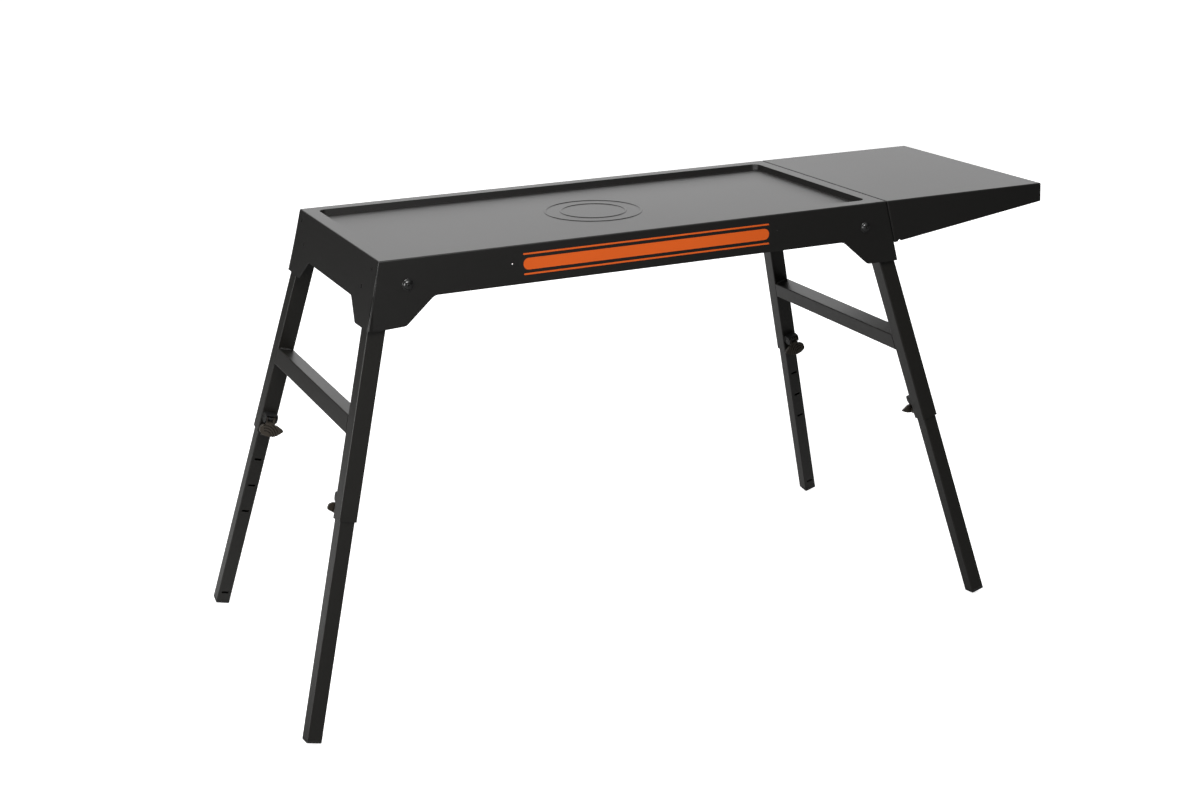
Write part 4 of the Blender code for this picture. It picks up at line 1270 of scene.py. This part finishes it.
@dataclass
class Pivot:
    """A pivot bolt with its spacer sleeve and flanged lock nut, along the fold axis."""

    leg: Leg
    tray: Tray
    bracket_face: float = 0.2105
    bracket_width: float = 0.0230
    shank: float = 0.0040
    bore: float = 0.0043
    spacer_radius: float = 0.0070
    head_radius: float = 0.0098
    dome_radius: float = 0.0079
    dome_rise: float = 0.0038
    wings: tuple[tuple[float, float, float], ...] = (
        (-0.0010, 0.0034, 0.00075), (0.0012, 0.0028, 0.00062), (0.0030, 0.0016, 0.00045))
    thread_pitch: float = 0.00125
    thread_length: float = 0.0155
    gap: float = 0.0003

    def build(self, bench: Bench) -> None:
        """Makes the bolt, the spacer and the nut."""
        out = self.leg.row.value
        axes = Matrix.Translation((self.leg.end.value * self.leg.pivot[0], 0, -self.leg.pivot[1]))
        seat = self.tray.skirt_face(self.leg.pivot[1] + self.head_radius) + self.gap
        bolt = shaped(self.leg.name + "_pivot_bolt_visual", self._bolt(out, seat))
        work(bolt, Cut.AWAY, *self._recess(out, seat + 0.0057))
        bench.seat(bolt, SCREW_BLACK, self.leg.name + "_pivot_bolt", axes)

        inner = self.bracket_face + self.gap
        skirt_depth = self.leg.pivot[1] - self.spacer_radius
        skirt = self.tray.skirt_face(skirt_depth) - self.tray.sheet.thickness / math.cos(self.tray.skirt_lean)
        outer = skirt - self.gap
        bore, radius, edge = self.bore, self.spacer_radius, 0.0004
        sleeve = [
            (bore + edge, inner), (radius - edge, inner), (radius, inner + edge), (radius, outer - edge),
            (radius - edge, outer), (bore + edge, outer), (bore, outer - edge), (bore, inner + edge)]
        spacer = shaped(self.leg.name + "_pivot_spacer_visual", turned(sleeve, (0, out, 0)))
        bench.seat(spacer, ZINC, self.leg.name + "_pivot_spacer", axes)
        self._nut(bench, out, axes)

    def _bolt(self, out: int, seat: float) -> Shape:
        """Models the domed, flanged head and the shank with its rolled thread."""
        tip = self.bracket_face - self.bracket_width - 0.0125
        root, crest = self.shank - 0.00055, self.shank - 0.00005
        profile = [(0, tip), (root - 0.0004, tip), (root, tip + 0.0005)]
        thread_end = tip + self.thread_length
        along = tip + 0.0008
        while along < thread_end:
            profile += [(root, along), (crest, along + self.thread_pitch * 0.42),
                        (crest, along + self.thread_pitch * 0.58)]
            along += self.thread_pitch
        profile += [(self.shank, along + 0.0006), (self.shank, seat)]
        radius = self.head_radius
        flange = ((radius - 0.0003, 0), (radius, 0.0004), (radius, 0.0010), (radius - 0.0004, 0.0014),
                  (0.0082, 0.0017))
        profile += [(reach, seat + rise) for reach, rise in flange]
        for step in range(9):
            turn = math.pi / 2 * step / 8
            reach = self.dome_radius * math.cos(turn) ** 0.8 if step < 8 else 0.0
            profile.append((reach, seat + 0.0019 + self.dome_rise * math.sin(turn)))
        return turned(profile, (0, out, 0), 64)

    def _recess(self, out: int, top: float) -> list[Shape]:
        """Makes the tools for the head's cross recess, whose four wings narrow as they go in."""
        tools = []
        for swap in (False, True):
            rings = []
            for depth, reach, half in self.wings:
                y = out * (top - depth)
                corners = rectangle((-reach, -half), (reach, half))
                rings.append([(b, y, a) if swap else (a, y, b) for a, b in corners])
            tools.append(skin(rings))
        return tools

    def _nut(self, bench: Bench, out: int, axes: Matrix) -> None:
        """Makes the flanged hexagon nut, its corners turned off and its collar round the thread."""
        face = self.bracket_face - self.bracket_width - self.gap
        bore, corner_radius = self.bore, 0.0075

        def revolved(*outline: Point2) -> Shape:
            """Revolves an outline of (radius, distance under the bracket)."""
            return turned([(radius, face - under) for radius, under in outline], (0, out, 0))

        flange = revolved((bore, 0), (0.0083, 0), (0.0085, 0.0003), (0.0085, 0.0010), (0.0070, 0.0022),
                          (0.0062, 0.0032), (bore, 0.0032))
        nut = shaped(self.leg.name + "_pivot_nut_visual", flange)
        angles = [math.tau * corner / 6 for corner in range(6)]
        hexagon = [(corner_radius * math.cos(a), corner_radius * math.sin(a)) for a in angles]
        body = prism(hexagon, lambda x, z: (x, out * (face - 0.0020), z), (0, -out * 0.0070, 0))
        sides = shaped("hexagon", body)
        work(sides, Cut.KEEP, revolved((0, -0.001), (0.0073, -0.001), (0.0073, 0.0008), (0.0079, 0.0014),
                                       (0.0079, 0.0076), (0.0066, 0.0090), (0, 0.0090)))
        blank = bmesh.new()
        blank.from_mesh(sides.data)
        bpy.data.objects.remove(sides, do_unlink=True)
        work(nut, Cut.ADD, blank)
        work(nut, Cut.AWAY, rod(bore, (0, out * (face - 0.03), 0), (0, out * (face + 0.01), 0), 48))
        bench.seat(nut, ZINC, self.leg.name + "_pivot_nut", axes)


@dataclass
class HingeBracket:
    """A U bracket welded to the outer tube's inboard face, its ears rounded about the fold axis."""

    leg: Leg
    face: float = 0.2105
    width: float = 0.0230
    sheet: float = 0.0025
    nose: float = 0.0110
    bore: float = 0.0043
    foot_depth: float = 0.038
    bead_radius: float = 0.0016
    gap: float = 0.0003

    def build(self, bench: Bench) -> None:
        """Makes the bracket and the two beads that hold it."""
        inboard = self.leg.axis_place()[1]
        back = inboard - self.leg.outer_side - self.gap
        arc = []
        for step in range(25):
            angle = math.radians(75 + 165 * step / 24)
            arc.append((self.nose * math.cos(angle), self.nose * math.sin(angle)))
        foot = [(back - self.sheet - 0.002, -self.foot_depth), (back, -self.foot_depth)]
        outline = [(back, 0.001)] + arc + foot
        side = self.leg.side
        near, far = side * (self.face - self.width), side * self.face
        node = self.leg.name + "_hinge_bracket"
        bracket = shaped(node + "_visual", prism(outline, lambda x, z: (x, near, z), (0, far - near, 0)))
        inside = sorted((near + side * self.sheet, far - side * self.sheet))
        work(bracket, Cut.AWAY, block((-0.03, inside[0], -0.06), (back - self.sheet, inside[1], 0.03)),
             rod(self.bore, (0, near - side * 0.01, 0), (0, far + side * 0.01, 0), 40))
        soften(bracket, 0.0003, 2, 50.0)
        axes = self.leg.frame_axes()
        bench.seat(bracket, TUBE_COAT, node, axes)
        start, end = back - 0.0006, self.foot_depth - 0.003
        runs = [(Vector((start, y, -0.012)), Vector((start, y, -end))) for y in (near, far)]
        bench.weld(self.leg.name + "_bracket_welds", node, axes, runs, self.bead_radius)


@dataclass
class Crossbar:
    """The square tube welded between a frame's two outer tubes, its ends cut to their splay."""

    leg: Leg
    start: float = 0.2646
    bead_radius: float = 0.0021
    gap: float = 0.0003

    def _end_y(self, side: int, z: float) -> float:
        """Gives where the bar meets the tube on one side, at a height on the frame."""
        down = self.leg.axis_place()[0]
        reach = (self.leg.outer_side + self.gap * 2) / math.cos(self.leg.splay)
        return side * (self.leg.top[1] + (down - z) * math.tan(self.leg.splay) - reach)

    def build(self, bench: Bench) -> None:
        """Makes the bar and its four weld beads."""
        down, inboard = self.leg.axis_place()
        size, corner = self.leg.outer_side, self.leg.outer_corner
        middle = Vector((inboard - size / 2, down - self.start - size / 2))
        bore, bore_corner = size - 2 * self.leg.wall, corner / 2
        rings = []
        rows = ((size, corner, -1), (size, corner, 1), (bore, bore_corner, 1), (bore, bore_corner, -1))
        for side, radius, hand in rows:
            ring = [Vector((x, z)) + middle for x, z in rounded_box(side / 2, side / 2, radius, 6)]
            rings.append([(x, self._end_y(hand, z), z) for x, z in ring])
        node = f"{self.leg.end.name.lower()}_crossbar"
        bar = shaped(node + "_visual", skin(rings, closed=True))
        axes = self.leg.frame_axes()
        bench.seat(bar, TUBE_COAT, node, axes)
        runs = []
        sunk, reach = 0.0002, size * 0.38
        for hand in (-1, 1):
            for z in (middle.y + size / 2 - sunk, middle.y - size / 2 + sunk):
                y = self._end_y(hand, z)
                runs.append((Vector((middle.x - reach, y, z)), Vector((middle.x + reach, y, z))))
        bench.weld(node + "_welds", node, axes, runs, self.bead_radius)


@dataclass
class SpringLatch:
    """The latch at an outer tube's lower end: a housing, a pin, a torsion spring and a thumb lever.

    Its shapes are drawn as (proud, down): the distance from the pin away from the tube, and down the leg. The
    thumb pad is drawn as (across, down) on its own sloping face.
    """

    leg: Leg
    height: float = 0.043
    housing_span: Point2 = (-0.0275, -0.0040)
    housing_proud: float = 0.019
    housing_sheet: float = 0.0015
    ear_radius: float = 0.009
    pin_proud: float = 0.010
    pin_radius: float = 0.0025
    pin_bore: float = 0.0028
    pin_head: float = 0.0038
    lever_span: Point2 = (-0.0245, -0.0070)
    pad_top: float = 0.0105
    pad_proud: float = 0.0100
    pad_thick: float = 0.0050
    pad_slope: float = 0.45
    groove_centre: Point2 = (-0.0080, 0.0320)
    groove_radii: tuple[float, ...] = (0.0120, 0.0165, 0.0210, 0.0255)
    groove_tool: float = 0.0012
    nose_width: float = 0.012
    bead_radius: float = 0.0013
    gap: float = 0.0003

    def axes(self) -> Matrix:
        """Gives the latch's axes on the pin: the leg's axes, moved."""
        y = -self.leg.side * (self.leg.outer_side + self.pin_proud)
        down = self.leg.outer_end - self.height + self.ear_radius
        return self.leg.leg_axes() @ Matrix.Translation((0, y, -down))

    def along(self, outline: Sequence[Sequence[float]], start: float, end: float) -> Shape:
        """Extrudes a (proud, down) outline along the pin, between two places across the tube."""
        return prism(outline, lambda proud, down: (start, -self.leg.side * proud, -down), (end - start, 0, 0))

    def pad_point(self, across: float, down: float, depth: float = 0.0) -> Vector:
        """Gives a point of the thumb pad, at a depth behind its sloping face."""
        proud = self.pad_proud + self.pad_slope * (down - self.pad_top) - depth
        return Vector((across, -self.leg.side * proud, -down))

    def build(self, bench: Bench) -> None:
        """Makes the latch's four pieces."""
        self._housing(bench)
        self._pin(bench)
        self._spring(bench)
        self._lever(bench)

    def _bore(self) -> Shape:
        """Makes the tool for the hole that the pin goes through."""
        return rod(self.pin_bore, (-0.05, 0, 0), (0.02, 0, 0), 32)

    def _housing(self, bench: Bench) -> None:
        """Makes the folded channel with two ears and a bridge, and its welds."""
        sheet, ear = self.housing_sheet, self.ear_radius
        foot, nose = -self.pin_proud + self.gap, self.housing_proud - self.pin_proud
        low, high = self.housing_span
        outline = rounded([(foot, -ear), (nose, -ear, 0.006), (nose, ear, 0.0088), (foot, ear)], 9)
        node = self.leg.name + "_latch_housing"
        housing = shaped(node + "_visual", self.along(outline, low, high))
        inner = rectangle((foot + sheet, sheet - ear), (nose + 0.01, ear + 0.01))
        work(housing, Cut.AWAY, self.along(inner, low + sheet, high - sheet), self._bore())
        soften(housing, 0.0003, 2, 45.0)
        bench.seat(housing, LATCH_COAT, node, self.axes())
        y = self.leg.side * (self.pin_proud - 0.0008)
        end = ear - 0.002
        runs = [(Vector((x, y, end)), Vector((x, y, -end))) for x in (low - 0.0004, high + 0.0004)]
        bench.weld(self.leg.name + "_latch_welds", node, self.axes(), runs, self.bead_radius)

    def _pin(self, bench: Bench) -> None:
        """Makes the riveted pin through the housing's ears."""
        far, near = self.housing_span[0] - self.gap, self.housing_span[1] + self.gap
        head = [(0, 0.0010)]
        for angle in (0.45, 0.9, 1.25, 1.5):
            head.append((self.pin_head * math.sin(angle), 0.0001 + 0.0009 * math.cos(angle)))
        head += [(self.pin_head, 0), (self.pin_radius, 0)]
        profile = [(r, far - h) for r, h in head] + [(r, near + h) for r, h in reversed(head)]
        node = self.leg.name + "_latch_pin"
        bench.seat(shaped(node + "_visual", turned(profile, (1, 0, 0), 40)), DARK_ZINC, node, self.axes())

    def _spring(self, bench: Bench) -> None:
        """Winds the torsion spring round the pin, one end on the housing's back and one on the lever."""
        radius, wire, turns, per_turn = 0.0037, 0.0005, 4, 28
        first = math.radians(150)
        points = [(-0.0192, -self.pin_proud + 0.0030, 0.0060), (-0.0190, -0.0055, 0.0040)]
        for step in range(turns * per_turn + 1):
            angle = first - math.tau * step / per_turn
            along = -0.0185 + 0.0070 * step / (turns * per_turn)
            points.append((along, radius * math.cos(angle), radius * math.sin(angle)))
        points.append((-0.0110, 0.0008, 0.0055))
        path = [Vector((along, -self.leg.side * proud, -down)) for along, proud, down in points]
        node = self.leg.name + "_latch_spring"
        spring = shaped(node + "_visual", swept(path, [wire] * len(path), 10))
        bench.seat(spring, SPRING_WIRE, node, self.axes(), angle=60.0)

    def _lever_middle(self) -> list[Vector]:
        """Gives the lever's middle as (proud, down): hub, arm, and the heel that passes the tube's end."""
        end = self.height - self.ear_radius
        turns = [math.radians(130 + 12.5 * step) for step in range(21)]
        hub = [(0.005 * math.cos(turn), 0.005 * math.sin(turn)) for turn in turns]

        def face(down: float, depth: float = 0.0) -> Point2:
            """Gives a point at a depth behind the thumb pad's face."""
            return self.pad_proud + self.pad_slope * (down - self.pad_top) - depth, down

        front = [(0.0070, 0.0070, 0.002), face(self.pad_top), face(0.0270), (0.0120, 0.0285, 0.003),
                 (0.0020, 0.0298, 0.006)]
        heel = [(-0.0040, 0.0322, 0.003), (-0.0068, end + 0.0049), (-0.0088, end + 0.0049),
                (-0.0088, end - 0.0015, 0.002)]
        back = [(-0.0060, 0.0282, 0.003), (0.0020, 0.0245, 0.002), face(0.0200, self.pad_thick),
                face(0.0120, self.pad_thick)]
        return rounded(hub + front + heel + back, 4)

    def _pad(self) -> Shape:
        """Models the thumb pad: a plate with a blunt end outboard and a point inboard."""
        corners = [
            (-0.0290, 0.0105, 0.005), (-0.0438, 0.0182, 0.0022), (-0.0310, 0.0272, 0.006),
            (-0.0230, 0.0300, 0.003), (-0.0080, 0.0290, 0.003), (0.0038, 0.0245, 0.006),
            (0.0038, 0.0140, 0.006), (-0.0030, 0.0105, 0.003)]
        through = self.pad_point(0, 0) - self.pad_point(0, 0, self.pad_thick)
        return prism(rounded(corners, 8), lambda x, down: self.pad_point(x, down, self.pad_thick), through)

    def _grooves(self) -> list[Shape]:
        """Makes the tools for the thumb pad's arc-shaped grooves."""
        across, down = self.groove_centre
        turns = [math.radians(175 + 110 * step / 30) for step in range(31)]
        grooves = []
        for radius in self.groove_radii:
            path = [self.pad_point(across + radius * math.cos(a), down + radius * math.sin(a)) for a in turns]
            grooves.append(swept(path, [self.groove_tool] * len(path), 12))
        return grooves

    def _lever(self, bench: Bench) -> None:
        """Makes the lever: two knuckles on the pin, the grooved thumb pad, and a nose under the tube."""
        node = self.leg.name + "_latch_lever"
        lever = shaped(node + "_visual", self.along(self._lever_middle(), *self.lever_span))
        end = self.height - self.ear_radius
        reach = -self.pin_proud - (self.leg.outer_side - self.leg.inner_side) / 2 + self.gap
        tooth = rectangle((reach, end + 0.0019), (-0.0078, end + 0.0049))
        middle, half = -self.leg.outer_side / 2, self.nose_width / 2
        notch = block((-0.0205, -0.009, -0.0065), (-0.0095, 0.009, 0.0070))
        work(lever, Cut.ADD, self._pad(), self.along(tooth, middle - half, middle + half))
        work(lever, Cut.AWAY, notch, self._bore(), *self._grooves())
        soften(lever, 0.00025, 2, 45.0)
        bench.seat(lever, LEVER_COAT, node, self.axes())


@dataclass
class LegFrame:
    """One folding leg frame: two telescopic legs with their latches, pivots and brackets, and a crossbar."""

    end: End
    tray: Tray

    def build(self, bench: Bench) -> None:
        """Makes the crossbar and everything on both legs."""
        Crossbar(Leg(self.end, Row.FRONT)).build(bench)
        for row in Row:
            leg = Leg(self.end, row)
            leg.build(bench)
            Pivot(leg, self.tray).build(bench)
            HingeBracket(leg).build(bench)
            SpringLatch(leg).build(bench)


# The studio: floor, light and camera


@dataclass
class Studio:
    """A plain pale floor, soft light and a camera at the photograph's angle."""

    floor_half: float = 30.0
    backdrop: float = 1.05
    room_heights: Point2 = (0.12, 0.62)
    room_light: Point2 = (0.07, 0.45)
    room_right: Point2 = (0.25, 0.70)
    right_share: float = 0.20
    camera_place: tuple[float, float, float] = (-1.4205, -2.8882, 1.4755)
    azimuth: float = math.radians(-25.09)
    elevation: float = math.radians(18.48)
    roll: float = math.radians(-0.696)
    focal_pixels: float = 1758.7
    image_width: float = 1200.0
    sensor: float = 36.0

    def build(self, effects: Effects) -> None:
        """Lays the floor, hangs the lights and sets the camera."""
        self._floor(effects)
        self._world()
        self._softbox("back_softbox", (1.85, 3.4, 2.1), (0.4, 0.0, 0.75), (4.7, 2.2), 46.0)
        self._softbox("left_softbox", (-3.3, -1.2, 1.1), (0.0, 0.0, 0.6), (2.6, 1.8), 66.0)
        self._softbox("top_softbox", (0.2, -0.2, 3.6), (0.0, 0.0, 0.0), (3.0, 3.0), 20.0)
        self._softbox("key_softbox", (-0.9, -2.4, 3.3), (0.0, 0.0, 0.6), (1.8, 1.2), 80.0)
        self._softbox("front_softbox", (0.1, -4.5, 0.45), (0.0, 0.0, 0.7), (1.6, 0.7), 4.0)
        self._camera()

    def _floor(self, effects: Effects) -> None:
        """Lays one wide plane under the stand."""
        bm = bmesh.new()
        bmesh.ops.create_grid(bm, x_segments=1, y_segments=1, size=self.floor_half)
        floor = shaped("studio_floor", bm, recalculate=False)
        floor.data.materials.append(PALE_FLOOR.material(effects))

    def _world(self) -> None:
        """Sets soft room light, dimmer near the floor and on the right, and a white backdrop."""
        world = bpy.data.worlds.new("studio")
        world.use_nodes = True
        sketch = Sketch(world.node_tree)
        split = sketch.feed(sketch.add("SeparateXYZ"), Vector=sketch.add("TexCoord").outputs["Generated"])
        height = sketch.span(split.outputs["Z"], *self.room_heights, *self.room_light)
        dimmed = sketch.span(split.outputs["X"], *self.room_right, 1.0, self.right_share)
        room = sketch.sum("MULTIPLY", height, dimmed)
        seen = sketch.add("LightPath").outputs["Is Camera Ray"]
        rest = sketch.sum("MULTIPLY", room, sketch.sum("SUBTRACT", 1.0, seen))
        sketch.feed(world.node_tree.nodes["Background"], Color=(1.0, 1.0, 1.0, 1.0),
                    Strength=sketch.sum("ADD", rest, sketch.sum("MULTIPLY", seen, self.backdrop)))
        bpy.context.scene.world = world
        bpy.context.scene.view_settings.view_transform = "Standard"

    @staticmethod
    def _softbox(name: str, place: Sequence[float], target: Sequence[float], size: Point2,
                 power: float) -> None:
        """Hangs one rectangular light.

        Args:
            name: The light's name.
            place: Where it hangs.
            target: What it points at.
            size: Its width and height.
            power: Its power in watts.
        """
        lamp = bpy.data.lights.new(name, "AREA")
        lamp.shape = "RECTANGLE"
        lamp.size, lamp.size_y = size
        lamp.energy = power
        holder = bpy.data.objects.new(name, lamp)
        bpy.context.scene.collection.objects.link(holder)
        holder.location = place
        holder.rotation_euler = (Vector(target) - Vector(place)).to_track_quat("-Z", "Y").to_euler()
        holder.visible_camera = False

    def _camera(self) -> None:
        """Sets the camera that was fitted to the photograph."""
        lens = bpy.data.cameras.new("photo_camera")
        lens.sensor_width = self.sensor
        lens.lens = self.sensor * self.focal_pixels / self.image_width
        lens.clip_end = 100.0
        sin_a, cos_a = math.sin(self.azimuth), math.cos(self.azimuth)
        sin_e, cos_e = math.sin(self.elevation), math.cos(self.elevation)
        backward = Vector((sin_a * cos_e, -cos_a * cos_e, sin_e))
        level = Vector((cos_a, sin_a, 0.0))
        upright = backward.cross(level)
        sin_r, cos_r = math.sin(self.roll), math.cos(self.roll)
        right = cos_r * level + sin_r * upright
        up = cos_r * upright - sin_r * level
        camera = bpy.data.objects.new("photo_camera", lens)
        bpy.context.scene.collection.objects.link(camera)
        axes = Matrix((right, up, backward)).transposed().to_4x4()
        camera.matrix_world = Matrix.Translation(self.camera_place) @ axes
        bpy.context.scene.camera = camera


def main() -> None:
    """Builds every sub-assembly in order and reports it."""
    logging.basicConfig(level=logging.INFO, format="%(message)s")
    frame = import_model()
    bench = Bench(frame)
    tray = Tray()
    tray.build(bench)
    Stiffener("front_stiffener", -0.10, tray).build(bench)
    Stiffener("back_stiffener", 0.10, tray).build(bench)
    SideShelf(tray).build(bench)
    for end in End:
        LegFrame(end, tray).build(bench)
    Studio().build(bench.effects)
    LOG.info("%d pieces", bench.count)


if __name__ == "__main__":
    main()
